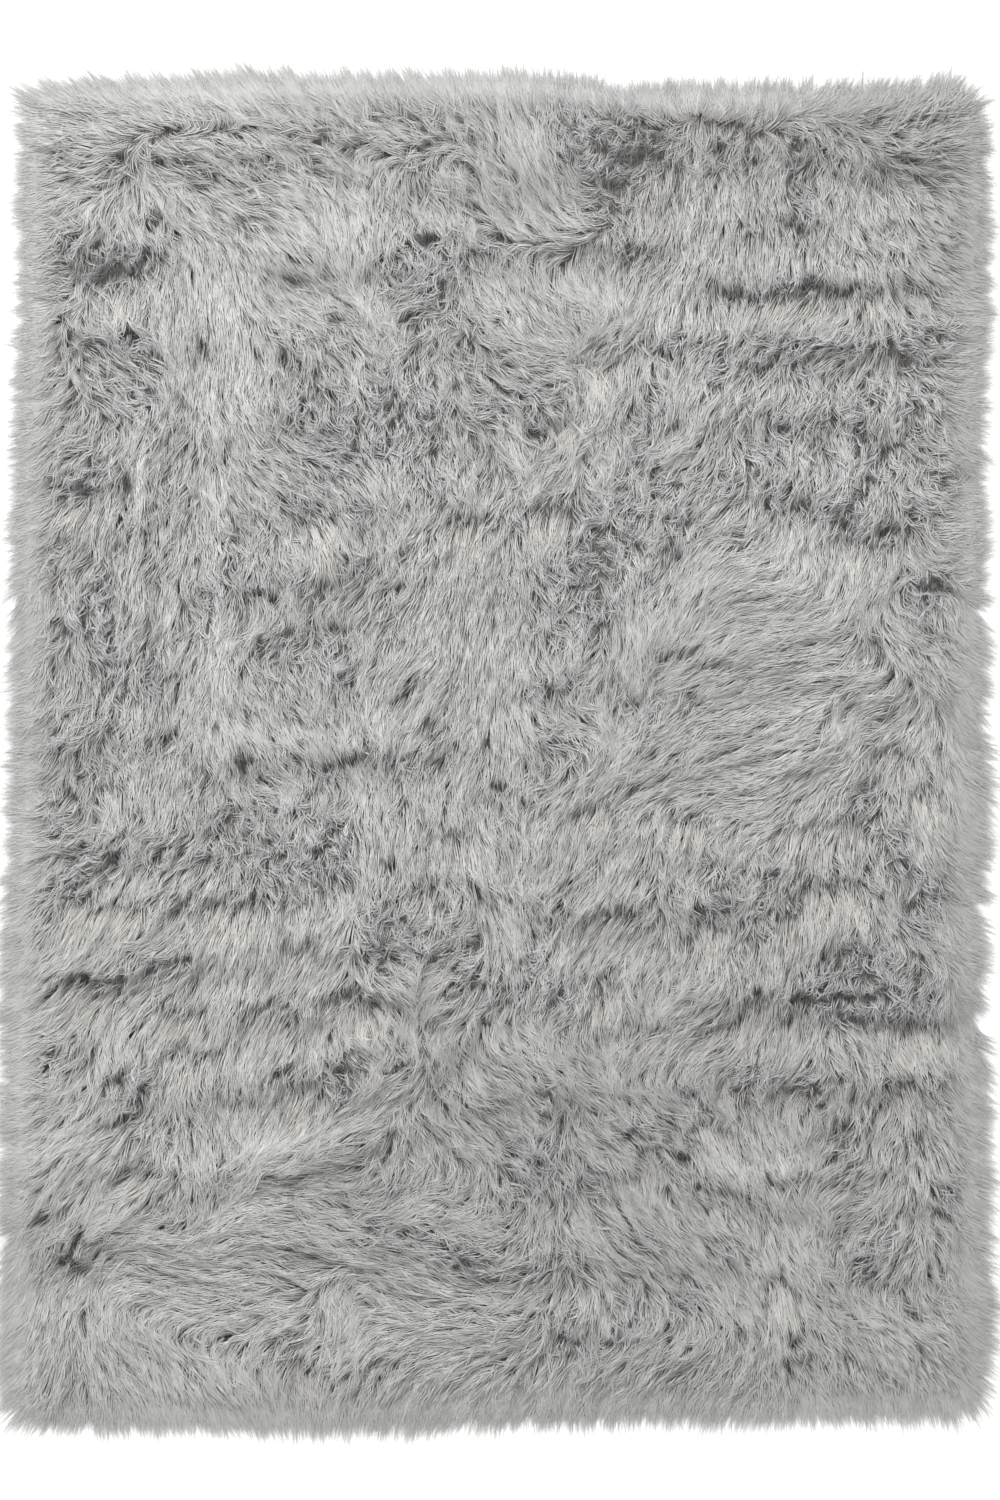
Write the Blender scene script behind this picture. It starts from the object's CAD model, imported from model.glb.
"""Dresses the shag rug: combed and ruffled locks of long pale pile on a woven backing, on a pale floor.

Metres, +Z up. +Y is the rug's long way, and most of the pile lies towards -Y.
"""

import math
from functools import lru_cache

import bmesh
import bpy
import numpy as np
from bpy.props import FloatProperty, FloatVectorProperty, IntProperty, PointerProperty
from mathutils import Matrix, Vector, noise
from mathutils.bvhtree import BVHTree


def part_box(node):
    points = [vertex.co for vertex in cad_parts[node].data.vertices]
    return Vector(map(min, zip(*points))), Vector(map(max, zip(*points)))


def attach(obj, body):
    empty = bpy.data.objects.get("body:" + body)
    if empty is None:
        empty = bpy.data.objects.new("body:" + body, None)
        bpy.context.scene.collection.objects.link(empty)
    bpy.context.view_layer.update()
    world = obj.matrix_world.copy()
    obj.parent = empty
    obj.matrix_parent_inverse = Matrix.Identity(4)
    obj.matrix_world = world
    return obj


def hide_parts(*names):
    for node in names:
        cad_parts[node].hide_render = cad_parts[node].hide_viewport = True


bl_info = {
    "name": "Shag rug",
    "version": (1, 0, 0),
    "blender": (4, 5, 0),
    "location": "3D View > Sidebar > Shag Rug",
    "description": "Makes a shag rug of combed and ruffled long pile on a woven backing",
    "category": "Add Mesh",
}

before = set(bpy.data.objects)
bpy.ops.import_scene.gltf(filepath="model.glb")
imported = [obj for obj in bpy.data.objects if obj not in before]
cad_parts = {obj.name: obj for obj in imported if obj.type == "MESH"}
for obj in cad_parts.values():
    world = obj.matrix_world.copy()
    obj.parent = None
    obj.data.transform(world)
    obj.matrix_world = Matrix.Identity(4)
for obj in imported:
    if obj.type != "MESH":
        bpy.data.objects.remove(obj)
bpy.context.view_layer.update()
RUG_NODE = "shag_rug"

CENTIMETRE = 0.01
MILLIMETRE = 0.001
PERCENT = 0.01

# They keep sums away from nothing. FAINT also lays the pile towards -Y where no reading reaches.
FAINT = 1e-6
TINY = 1e-9

# The outline over the tips of the pile, in millimetres from the middle.
# Sides: the left and right reach at each place along the rug.
SIDE_COLUMNS = ("along", "left", "right")
SIDES = (
    (-1060, 765, 763),
    (-930, 777, 773),
    (-710, 777, 769),
    (-490, 774, 764),
    (-270, 769, 759),
    (-60, 763, 765),
    (50, 758, 760),
    (270, 762, 766),
    (490, 755, 762),
    (700, 750, 768),
    (920, 751, 770),
    (1060, 748, 764),
)
# Ends: the front and back reach at each place across the rug.
END_COLUMNS = ("across", "front", "back")
ENDS = (
    (-770, 1059, 1048),
    (-540, 1060, 1053),
    (-350, 1062, 1060),
    (-170, 1059, 1062),
    (20, 1050, 1060),
    (110, 1050, 1056),
    (200, 1044, 1045),
    (390, 1050, 1046),
    (580, 1045, 1048),
    (770, 1042, 1052),
)
# How far the hair reaches past the backing's cut edge, and the rounding of the backing's corners.
RIM_REACH = 0.044
CORNER_ROUNDING = 0.030

# How the pile lies: at (x, y), in centimetres, its tips point to `heading`, in degrees from +X. `ruffle` is
# how tousled it is there, in percent.
STROKE_COLUMNS = ("x", "y", "heading", "ruffle")
STROKES = (
    # back rim, left to right
    (-62, 104, 165, 25), (-52, 102, 140, 25), (-45, 101, 138, 15), (-39, 102, 148, 10), (-32, 101, 155, 8),
    (-27, 100, 165, 10), (-23, 104, 105, 15), (-10, 98, 140, 40), (0, 103, 105, 12), (18, 103, 92, 10),
    (23, 103, 88, 10), (37, 101, 90, 10), (42, 101, 74, 12), (49, 101, 45, 15), (57, 102, 38, 12),
    (72, 102, 38, 5),
    # left of the back: rim, swirl and comb
    (-71, 86, 190, 15), (-72, 70, 180, 15), (-72, 65, 180, 10), (-71, 59, 190, 20), (-71, 55, 216, 20),
    (-60, 88, 195, 10), (-62, 81, 300, 45), (-54, 91, 318, 15), (-48, 91, 340, 20), (-57, 83, 290, 20),
    (-42, 93, 325, 30), (-32, 91, 335, 25), (-31, 86, 332, 20), (-23, 83, 272, 10), (-7, 91, 290, 20),
    (-8, 85, 305, 20),
    # sweep that climbs to the back rim
    (1, 92, 112, 10), (10, 86, 122, 10), (14, 85, 138, 15), (10, 80, 150, 15), (1, 83, 125, 25),
    # ruffled pits and rows right of the sweep
    (14, 97, 105, 70), (17, 95, 190, 95), (22, 95, 180, 95), (24, 91, 268, 45), (18, 89, 200, 85),
    (20, 82, 265, 45), (30, 82, 268, 15), (36, 94, 270, 20), (48, 96, 262, 35), (54, 94, 272, 25),
    (59, 96, 22, 20), (66, 95, 24, 15), (72, 93, 350, 15), (59, 91, 275, 15), (72, 86, 325, 10),
    (62, 81, 278, 20),
    # behind the middle, left
    (-59, 76, 275, 60), (-59, 70, 270, 5), (-66, 74, 200, 50), (-66, 65, 310, 45), (-61, 65, 285, 65),
    (-62, 59, 330, 50), (-37, 70, 275, 8), (-32, 70, 345, 20), (-28, 66, 330, 15), (-24, 59, 302, 12),
    (-37, 57, 272, 8), (-30, 58, 250, 80), (-13, 63, 300, 12), (-11, 76, 270, 75), (-12, 70, 186, 35),
    (-10, 66, 210, 55), (-3, 72, 318, 40), (-17, 55, 270, 70),
    # behind the middle, right
    (0, 75, 292, 8), (7, 72, 288, 18), (15, 76, 286, 5), (24, 73, 238, 12), (28, 76, 232, 25),
    (13, 68, 350, 35), (17, 65, 188, 15), (14, 62, 200, 15), (12, 60, 5, 20), (16, 58, 262, 0),
    (21, 60, 245, 10), (24, 62, 290, 45), (30, 69, 268, 12), (30, 55, 266, 15), (34, 65, 265, 45),
    (35, 59, 220, 45), (4, 55, 342, 35), (5, 48, 312, 50), (14, 50, 238, 8), (8, 45, 202, 30),
    (16, 45, 305, 12), (20, 53, 280, 60), (24, 44, 205, 40),
    # back right
    (60, 76, 274, 20), (68, 76, 334, 10), (66, 64, 0, 40), (59, 65, 266, 30), (63, 62, 270, 60),
    (57, 62, 200, 60), (69, 59, 15, 25), (74, 60, 20, 15), (45, 57, 236, 40), (59, 56, 300, 50),
    (58, 53, 240, 35), (66, 54, 290, 35), (73, 54, 355, 15), (45, 48, 290, 40), (62, 47, 255, 60),
    (72, 48, 312, 20),
    # left rim, middle
    (-74, 47, 200, 15), (-72, 34, 203, 12), (-72, 29, 210, 12), (-73, 23, 285, 25), (-73, 17, 216, 20),
    (-73, 11, 222, 20), (-72, 6, 240, 30), (-73, 1, 186, 20), (-73, -4, 205, 20), (-70, -11, 155, 40),
    (-72, -17, 228, 18),
    # left of the middle
    (-66, 46, 240, 45), (-65, 42, 180, 35), (-65, 37, 268, 0), (-59, 39, 276, 15), (-66, 32, 246, 55),
    (-55, 42, 268, 8), (-55, 30, 264, 10), (-51, 44, 238, 50), (-52, 33, 250, 50), (-44, 39, 276, 10),
    (-40, 30, 275, 55), (-64, 17, 270, 55), (-67, 7, 255, 40), (-47, 3, 250, 20), (-60, -1, 278, 45),
    (-66, 1, 200, 25), (-65, -6, 300, 60), (-59, -8, 272, 10), (-45, -6, 280, 12), (-41, -8, 240, 75),
    # middle
    (-35, 39, 340, 35), (-32, 48, 320, 50), (-8, 44, 290, 35), (-28, 34, 270, 3), (-24, 39, 318, 45),
    (-19, 38, 312, 25), (-21, 35, 250, 30), (-21, 31, 302, 30), (-7, 37, 245, 25), (-24, 30, 300, 70),
    (-21, 26, 245, 20), (-38, 22, 262, 3), (-35, 24, 325, 20), (-34, 21, 242, 10), (-33, 17, 180, 80),
    (-37, 16, 210, 60), (-28, 23, 246, 20), (-26, 17, 290, 50), (-23, 22, 228, 30), (-21, 10, 240, 25),
    (-35, 12, 276, 35), (-25, 6, 292, 30), (-38, 3, 310, 15), (-37, -8, 350, 55), (-32, -11, 250, 50),
    (-9, 1, 228, 15), (-11, -3, 262, 45), (-4, -2, 272, 18),
    # middle, right of the tall ridge
    (15, 38, 258, 55), (19, 38, 298, 50), (16, 30, 250, 80), (22, 32, 284, 35), (6, 27, 298, 40),
    (2, 24, 262, 10), (14, 26, 240, 80), (32, 38, 240, 45), (34, 33, 205, 5), (26, 30, 282, 30),
    (30, 25, 258, 5), (31, 17, 240, 10), (9, 20, 290, 55), (16, 20, 290, 12), (12, 14, 230, 50),
    (17, 12, 205, 25), (22, 13, 312, 20), (27, 13, 190, 45), (3, 11, 268, 4), (10, 7, 320, 50),
    (18, 7, 300, 18), (25, 7, 252, 45), (31, 6, 200, 20), (13, 0, 325, 40), (16, -3, 223, 5),
    (21, -1, 226, 5), (11, -6, 215, 30),
    # right of the middle
    (49, 39, 238, 45), (57, 39, 240, 45), (52, 32, 288, 4), (63, 34, 268, 35), (69, 39, 15, 28),
    (68, 32, 322, 20), (73, 30, 24, 10), (60, 27, 240, 8), (41, 20, 190, 8), (66, 28, 350, 45),
    (66, 24, 262, 45), (70, 23, 292, 30), (66, 18, 322, 30), (62, 17, 310, 30), (52, 10, 190, 8),
    (60, 11, 192, 15), (66, 11, 315, 20), (72, 10, 315, 18), (55, 6, 300, 20), (59, 6, 160, 25),
    (59, 3, 196, 10), (66, 5, 192, 15), (73, 3, 312, 12), (55, -2, 208, 6), (50, -8, 212, 8),
    (61, -1, 278, 5), (58, -6, 240, 70),
    # front half, left rim
    (-72, -39, 226, 8), (-69, -46, 184, 30), (-72, -63, 200, 8), (-72, -81, 258, 5), (-73, -102, 240, 5),
    # front half, back rows on the left
    (-64, -15, 182, 55), (-64, -21, 240, 65), (-58, -21, 264, 22), (-48, -21, 232, 50), (-62, -26, 264, 3),
    (-42, -26, 262, 3), (-53, -32, 216, 40), (-60, -35, 192, 25), (-62, -39, 252, 5), (-48, -42, 260, 3),
    (-34, -16, 290, 55), (-7, -14, 268, 3), (-12, -28, 250, 80), (-15, -32, 350, 40), (-8, -31, 182, 45),
    (-3, -16, 298, 48),
    # front half, back rows in the middle
    (5, -20, 246, 10), (10, -23, 232, 20), (17, -23, 222, 12), (23, -19, 236, 18), (19, -15, 266, 20),
    (25, -12, 292, 12), (30, -12, 306, 5), (35, -14, 300, 8), (14, -9, 268, 5), (22, -8, 192, 15),
    (30, -9, 188, 12), (38, -10, 190, 15), (31, -18, 250, 45), (36, -21, 258, 55), (30, -23, 325, 40),
    (17, -27, 262, 2), (22, -33, 222, 15), (32, -28, 272, 5), (2, -24, 300, 20), (9, -29, 270, 60),
    (14, -32, 226, 20),
    # front half, back rows on the right
    (49, -12, 268, 0), (55, -17, 262, 50), (47, -21, 250, 65), (52, -23, 284, 3), (58, -22, 302, 10),
    (43, -24, 240, 15), (46, -28, 270, 5), (56, -26, 226, 10), (60, -28, 290, 45), (61, -11, 290, 50),
    (66, -9, 282, 3), (72, -18, 324, 12), (73, -21, 328, 10), (66, -22, 280, 60), (69, -27, 284, 15),
    (67, -30, 328, 18), (73, -32, 326, 15), (42, -28, 266, 60),
    # front half, middle rows on the left
    (-61, -42, 262, 12), (-63, -49, 292, 25), (-59, -63, 205, 10), (-65, -67, 266, 10), (-54, -48, 232, 40),
    (-50, -56, 280, 45), (-42, -62, 280, 25), (-29, -41, 238, 10), (-16, -37, 345, 25), (-10, -36, 250, 3),
    (-16, -43, 232, 30), (-7, -38, 208, 40), (-7, -42, 192, 25), (-3, -44, 258, 4), (-9, -46, 325, 15),
    (-17, -46, 350, 35), (-24, -48, 330, 50), (-24, -52, 330, 60), (-31, -56, 255, 8), (-15, -50, 200, 20),
    # front half, middle rows in the middle
    (-10, -51, 208, 8), (-20, -55, 207, 8), (-21, -60, 188, 12), (-31, -63, 190, 8), (-8, -55, 320, 20),
    (-5, -60, 320, 20), (-14, -63, 300, 30), (-16, -68, 250, 55), (-9, -68, 205, 20), (11, -49, 318, 8),
    (33, -65, 325, 10), (10, -39, 242, 45), (16, -39, 284, 2), (23, -37, 336, 15), (28, -40, 196, 15),
    (24, -44, 272, 2), (24, -49, 194, 15), (33, -48, 200, 18), (30, -54, 335, 25), (24, -53, 328, 20),
    (35, -54, 276, 5), (34, -62, 282, 3), (23, -65, 256, 5), (1, -48, 330, 12), (4, -53, 335, 20),
    (10, -57, 215, 20), (9, -62, 300, 50), (16, -60, 340, 25), (14, -66, 335, 25), (22, -60, 345, 20),
    (4, -67, 290, 50), (10, -69, 272, 15), (31, -68, 285, 55),
    # front half, middle rows on the right
    (56, -36, 262, 80), (67, -37, 205, 35), (72, -39, 300, 55), (40, -42, 270, 5), (47, -42, 265, 5),
    (55, -46, 328, 20), (59, -43, 274, 12), (66, -45, 272, 2), (74, -46, 300, 15), (40, -49, 198, 25),
    (47, -50, 215, 50), (60, -49, 315, 20), (56, -52, 262, 25), (69, -54, 305, 35), (74, -56, 320, 12),
    (41, -55, 285, 15), (45, -55, 280, 8), (52, -64, 205, 15), (46, -62, 310, 12), (59, -58, 268, 5),
    (61, -62, 232, 20), (70, -60, 290, 8), (74, -62, 320, 12), (66, -64, 290, 45),
    # front, left
    (-64, -79, 200, 20), (-64, -87, 272, 4), (-59, -86, 278, 10), (-55, -83, 158, 10), (-48, -85, 172, 10),
    (-42, -88, 178, 12), (-59, -92, 320, 30), (-48, -92, 320, 20), (-50, -98, 278, 10),
    # front rim, left to right
    (-57, -101, 300, 6), (-37, -100, 306, 8), (-29, -99, 276, 4), (-17, -101, 248, 4), (-1, -101, 248, 5),
    (14, -101, 262, 12), (22, -98, 246, 25), (26, -101, 256, 15), (32, -100, 244, 8), (65, -99, 286, 5),
    # front, middle
    (-35, -74, 184, 15), (-29, -72, 145, 20), (-5, -80, 145, 25), (-14, -73, 165, 35), (-32, -84, 145, 15),
    (-26, -86, 302, 8), (-23, -89, 290, 10), (-35, -88, 200, 30), (-31, -92, 198, 25), (-17, -86, 155, 20),
    (-9, -89, 170, 15), (-24, -95, 215, 25), (3, -76, 188, 25), (1, -82, 200, 40), (7, -78, 300, 40),
    (14, -76, 320, 12), (22, -79, 324, 10), (30, -74, 320, 10), (8, -84, 230, 45), (22, -87, 250, 55),
    (30, -85, 310, 40), (36, -86, 312, 12), (3, -91, 145, 15), (11, -92, 300, 35), (19, -95, 190, 20),
    (30, -94, 200, 20), (41, -95, 240, 12),
    # front, right
    (43, -74, 284, 12), (47, -73, 320, 20), (53, -77, 180, 30), (49, -80, 306, 15), (64, -79, 228, 30),
    (57, -81, 200, 60), (72, -79, 286, 8), (74, -73, 312, 15), (44, -86, 270, 3), (50, -86, 345, 12),
    (58, -86, 336, 15), (73, -86, 318, 25), (49, -96, 298, 15), (66, -93, 320, 8),
)
# Each reading counts as far as a share of the distance to its nearest neighbours, within these bounds. Where
# readings disagree the pile parts, as far as the least agreement allows.
NEAREST_STROKES = 3
STROKE_SHARE = 0.80
STROKE_REACH = (0.030, 0.120)
LEAST_AGREEMENT = 0.2

# Ruffle: what the readings add to its least, what lumps of the solid and chance add, the share that is left
# at the rim, and the bounds between which it rises from none to full.
LEAST_RUFFLE = 0.04
READ_RUFFLE = 1.12
LUMP_RUFFLE = 0.20
LUMP_SIZE = 0.022
LUMP_HEIGHT = 0.008
CHANCE_RUFFLE = 0.20
CHANCE_RUFFLE_SIZE = 0.045
RIM_RUFFLE = 0.30
RUFFLE_BOUNDS = (0.05, 0.90)

# Swirls that the pile has by chance: how far apart they are, their seed, the turn of combed pile, in degrees,
# what ruffle adds to it, and the power of ruffle that counts.
SWIRL_COLUMNS = ("apart", "seed", "turn", "added", "power")
SWIRLS = (
    (0.055, 11.0, 2.0, 45.0, 1),
    (0.026, 12.0, 1.0, 60.0, 2),
    (0.140, 13.0, 4.0, 0.0, 1),
)

# Bare patches, where the pile has parted and the straight roots of its hairs show: middle, width and depth,
# in millimetres.
BARE_COLUMNS = ("x", "y", "width", "depth")
BARE_PATCHES = (
    (-594, 704, 56, 47), (-648, 372, 70, 43), (-617, -258, 132, 53), (-415, -258, 93, 53),
    (-625, -390, 93, 53), (-485, -417, 78, 43), (-477, -491, 78, 56), (-555, -657, 47, 31),
    (-594, -592, 54, 25), (-275, 328, 47, 78), (-43, 336, 62, 54), (-384, 220, 25, 62), (-221, -26, 34, 22),
    (-66, -137, 40, 34), (-105, -226, 34, 40), (-307, -316, 53, 34), (-97, -362, 53, 78),
    (-361, -420, 78, 56), (-213, -409, 116, 50), (-30, -448, 34, 65), (-198, -497, 50, 56),
    (-151, -502, 40, 34), (-307, -556, 59, 78), (-338, -681, 81, 34), (97, 496, 53, 40), (159, 580, 81, 56),
    (74, 352, 78, 47), (330, 131, 56, 25), (144, -99, 65, 34), (299, -125, 78, 53), (175, -277, 96, 50),
    (322, -289, 56, 56), (164, -390, 43, 53), (178, -463, 43, 65), (244, -445, 65, 40), (338, -448, 50, 34),
    (353, -541, 34, 50), (333, -615, 65, 71), (234, -643, 34, 50), (609, -9, 65, 25), (663, -88, 56, 65),
    (501, -130, 143, 47), (524, -238, 102, 71), (457, -280, 43, 59), (400, -417, 47, 62),
    (466, -417, 43, 65), (594, -435, 34, 40), (663, -451, 112, 56), (632, -541, 47, 50),
    (454, -553, 40, 62), (591, -575, 25, 50), (493, -684, 143, 40), (438, -854, 50, 65),
    (-294, -983, 65, 56), (578, 310, 93, 25), (252, 887, 65, 50), (252, 833, 65, 50), (493, 693, 233, 34),
)
# Their edge: how wide it fades, the share of that inside the outline, and how ragged it is. Then how much
# calmer the pile is in them, and how far it lies down.
BARE_EDGE = 0.010
BARE_EDGE_START = 0.7
BARE_RAGGED_SIZE = 0.026
BARE_RAGGED_REACH = 0.010
BARE_COMBING = 0.9
BARE_DEPTH = 0.5

# Swells and dips, where the pile is smoother, higher and paler, or more tousled, lower and darker: middle,
# length and width, in millimetres, the turn of the length, in degrees from +X, and the shade, in percent of
# the colour.
SWELL_COLUMNS = ("x", "y", "length", "width", "turn", "shade")
SWELLS = (
    # back
    (-415, 1003, 68, 47, 0, 9), (-640, 930, 93, 25, 10, 8), (-260, 817, 78, 47, -60, 10),
    (-330, 817, 62, 47, -60, 9), (-454, 716, 109, 62, -60, 9), (-586, 688, 47, 22, 0, 18),
    (-392, 623, 124, 25, -75, 9), (-144, 595, 28, 19, 90, 20), (-229, 600, 78, 14, -75, 12),
    (-170, 460, 109, 22, -72, 13), (-671, 367, 34, 28, 0, 20), (-609, 367, 37, 22, 90, 18),
    (-268, 347, 43, 31, 0, 18), (-547, 483, 140, 16, 85, 14), (-50, 414, 43, 28, 60, 12),
    (-105, 848, 47, 19, 80, 10), (-376, 499, 93, 25, -75, 8), (58, 941, 140, 40, 80, 12),
    (113, 825, 78, 22, -60, 12), (151, 716, 109, 31, -15, 16), (299, 965, 78, 28, 90, 12),
    (365, 833, 37, 22, 90, 14), (299, 786, 140, 19, 85, 14), (431, 910, 62, 22, -75, 14),
    (423, 806, 25, 19, 0, 12), (519, 887, 47, 37, 0, 10), (601, 851, 99, 28, 8, 16),
    (578, 766, 109, 22, 8, 14), (469, 771, 93, 25, 0, 11), (333, 755, 93, 19, 0, 9),
    (469, 673, 248, 20, 0, 14), (175, 581, 40, 28, 0, 20), (229, 600, 22, 19, 0, 14),
    (159, 553, 78, 12, 0, 10), (27, 667, 53, 37, 0, 11), (392, 553, 186, 16, 0, 10),
    (252, 483, 53, 25, 20, 11), (128, 491, 47, 31, 0, 11), (407, 463, 130, 17, 0, 11),
    (35, 437, 140, 19, -80, 13), (299, 584, 124, 16, 88, 9), (606, 452, 47, 22, 0, 9),
    # middle
    (-438, 251, 171, 28, 90, 11), (-434, 111, 140, 40, 90, 11), (-353, 212, 37, 31, 90, 18),
    (-516, 173, 78, 16, 75, 12), (-547, 274, 109, 14, 90, 11), (-74, 336, 93, 28, 0, 14),
    (-94, 204, 93, 34, 80, 9), (-92, 95, 78, 19, 70, 12), (-12, 173, 124, 20, 88, 12),
    (-190, 33, 78, 31, 90, 11), (-198, -106, 93, 53, 0, 12), (-353, -52, 93, 19, 5, 11),
    (-198, -209, 84, 31, 0, 18), (-66, -223, 47, 28, 0, 11), (-244, -254, 62, 53, 0, 11),
    (-508, -122, 37, 25, 45, 12), (-555, -187, 62, 40, 0, 12), (-415, -269, 84, 34, 0, 17),
    (-601, -262, 99, 34, 0, 11), (-407, -370, 47, 31, 80, 16), (66, 344, 68, 19, 0, 17),
    (407, 297, 171, 56, 0, 13), (516, 243, 140, 78, -20, 12), (252, 235, 47, 34, 0, 19),
    (182, -16, 40, 40, 0, 14), (58, -109, 99, 25, 0, 14), (147, -125, 93, 19, 0, 12),
    (275, -130, 47, 22, 0, 12), (339, -109, 47, 25, 0, 14), (547, 123, 155, 12, 5, 11),
    (469, 57, 130, 31, 10, 12), (423, -32, 109, 31, 22, 13), (539, 5, 31, 16, 0, 10),
    (488, -130, 130, 43, 0, 11), (671, -100, 56, 28, 0, 13), (656, -5, 47, 19, -75, 12),
    (23, -254, 68, 37, -40, 19), (162, -285, 130, 19, 12, 18), (528, -246, 99, 43, 0, 16),
    (27, 95, 93, 17, 88, 11),
    # front
    (-493, -502, 47, 34, 0, 12), (-524, -424, 62, 25, 60, 12), (-601, -463, 78, 25, 60, 12),
    (-423, -510, 47, 22, 80, 13), (-307, -564, 78, 40, 75, 16), (-361, -603, 93, 37, 80, 16),
    (-415, -639, 93, 19, 20, 11), (-268, -409, 31, 28, 0, 17), (-164, -401, 62, 28, 70, 19),
    (-206, -432, 47, 37, 0, 12), (-66, -685, 78, 47, 0, 14), (-539, -684, 47, 22, 0, 10),
    (-400, -828, 93, 22, -35, 10), (-570, -870, 78, 22, -50, 12), (198, -404, 81, 53, 0, 21),
    (128, -386, 47, 22, 0, 12), (376, -448, 62, 22, -60, 15), (563, -448, 93, 16, 10, 13),
    (656, -456, 47, 22, 0, 12), (598, -499, 47, 22, 60, 17), (283, -479, 124, 12, -25, 12),
    (330, -603, 78, 25, -60, 17), (384, -651, 78, 20, 0, 21), (454, -643, 62, 22, 0, 19),
    (671, -681, 47, 17, 0, 18), (594, -642, 62, 40, 80, 9), (438, -867, 62, 34, 90, 18),
    (438, -735, 47, 28, 90, 10), (144, -867, 62, 19, 20, 12), (175, -812, 47, 28, 30, 10),
    (182, -642, 78, 16, 30, 10), (283, -681, 93, 14, -35, 12), (625, -913, 93, 17, 0, 9),
    (-695, -618, 78, 40, 20, 8),
    # broad dark areas
    (221, 934, 124, 140, 0, -8), (-679, 452, 109, 140, 0, -6), (663, -386, 186, 93, 0, -8),
    (625, -199, 140, 93, 0, -7), (-27, -603, 171, 124, 0, -7), (221, -836, 186, 140, 0, -6),
    (625, -820, 171, 140, 0, -6), (-663, -766, 140, 93, 0, -8), (221, -983, 186, 47, 0, -6),
    (-586, 740, 171, 78, 0, -6),
    # broad tones
    (532, 934, 512, 202, 0, -9), (159, -587, 559, 404, 0, -8), (4, 1045, 1490, 78, 0, -10),
    (-229, 297, 652, 466, 0, -3), (4, 80, 1397, 466, 0, -3), (524, 926, 512, 233, 0, -14),
    (314, -587, 667, 466, 0, -11), (594, -898, 466, 186, 0, -4), (97, 794, 217, 186, 0, -4),
    (-586, 654, 233, 140, 0, 4), (-679, -479, 202, 248, 0, 5), (-307, -944, 652, 140, 0, 5),
    # ropes at the left of the middle
    (-550, 445, 171, 20, 92, 17), (-561, 189, 341, 16, 90, 15), (-505, 460, 140, 28, 90, 14),
    (-499, 235, 140, 16, 90, 12), (-449, 507, 140, 19, 85, 14), (-428, 328, 186, 22, 92, 14),
    (-417, 158, 155, 20, 90, 14), (-389, 538, 248, 22, -80, 14), (-275, 297, 124, 43, 90, 12),
    (-128, 328, 186, 22, 90, 12), (-111, 142, 186, 20, 88, 12), (-578, 390, 124, 12, 90, -20),
    (-539, 336, 202, 12, 90, -17), (-542, 173, 248, 22, 90, -15), (-477, 414, 109, 19, 90, -15),
    (-406, 313, 155, 20, 90, -15), (-605, 227, 109, 12, 90, -17), (-229, 251, 62, 78, 90, -10),
)
# How much higher and how much less ruffled a swell is for its shade, and the strength of its core and of its
# skirt, with how fast each fades outwards.
SWELL_HEIGHT = 0.008
SWELL_COMBING = 1.0
SWELL_FADES = ((0.60, 0.9), (0.25, 0.2))

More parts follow.
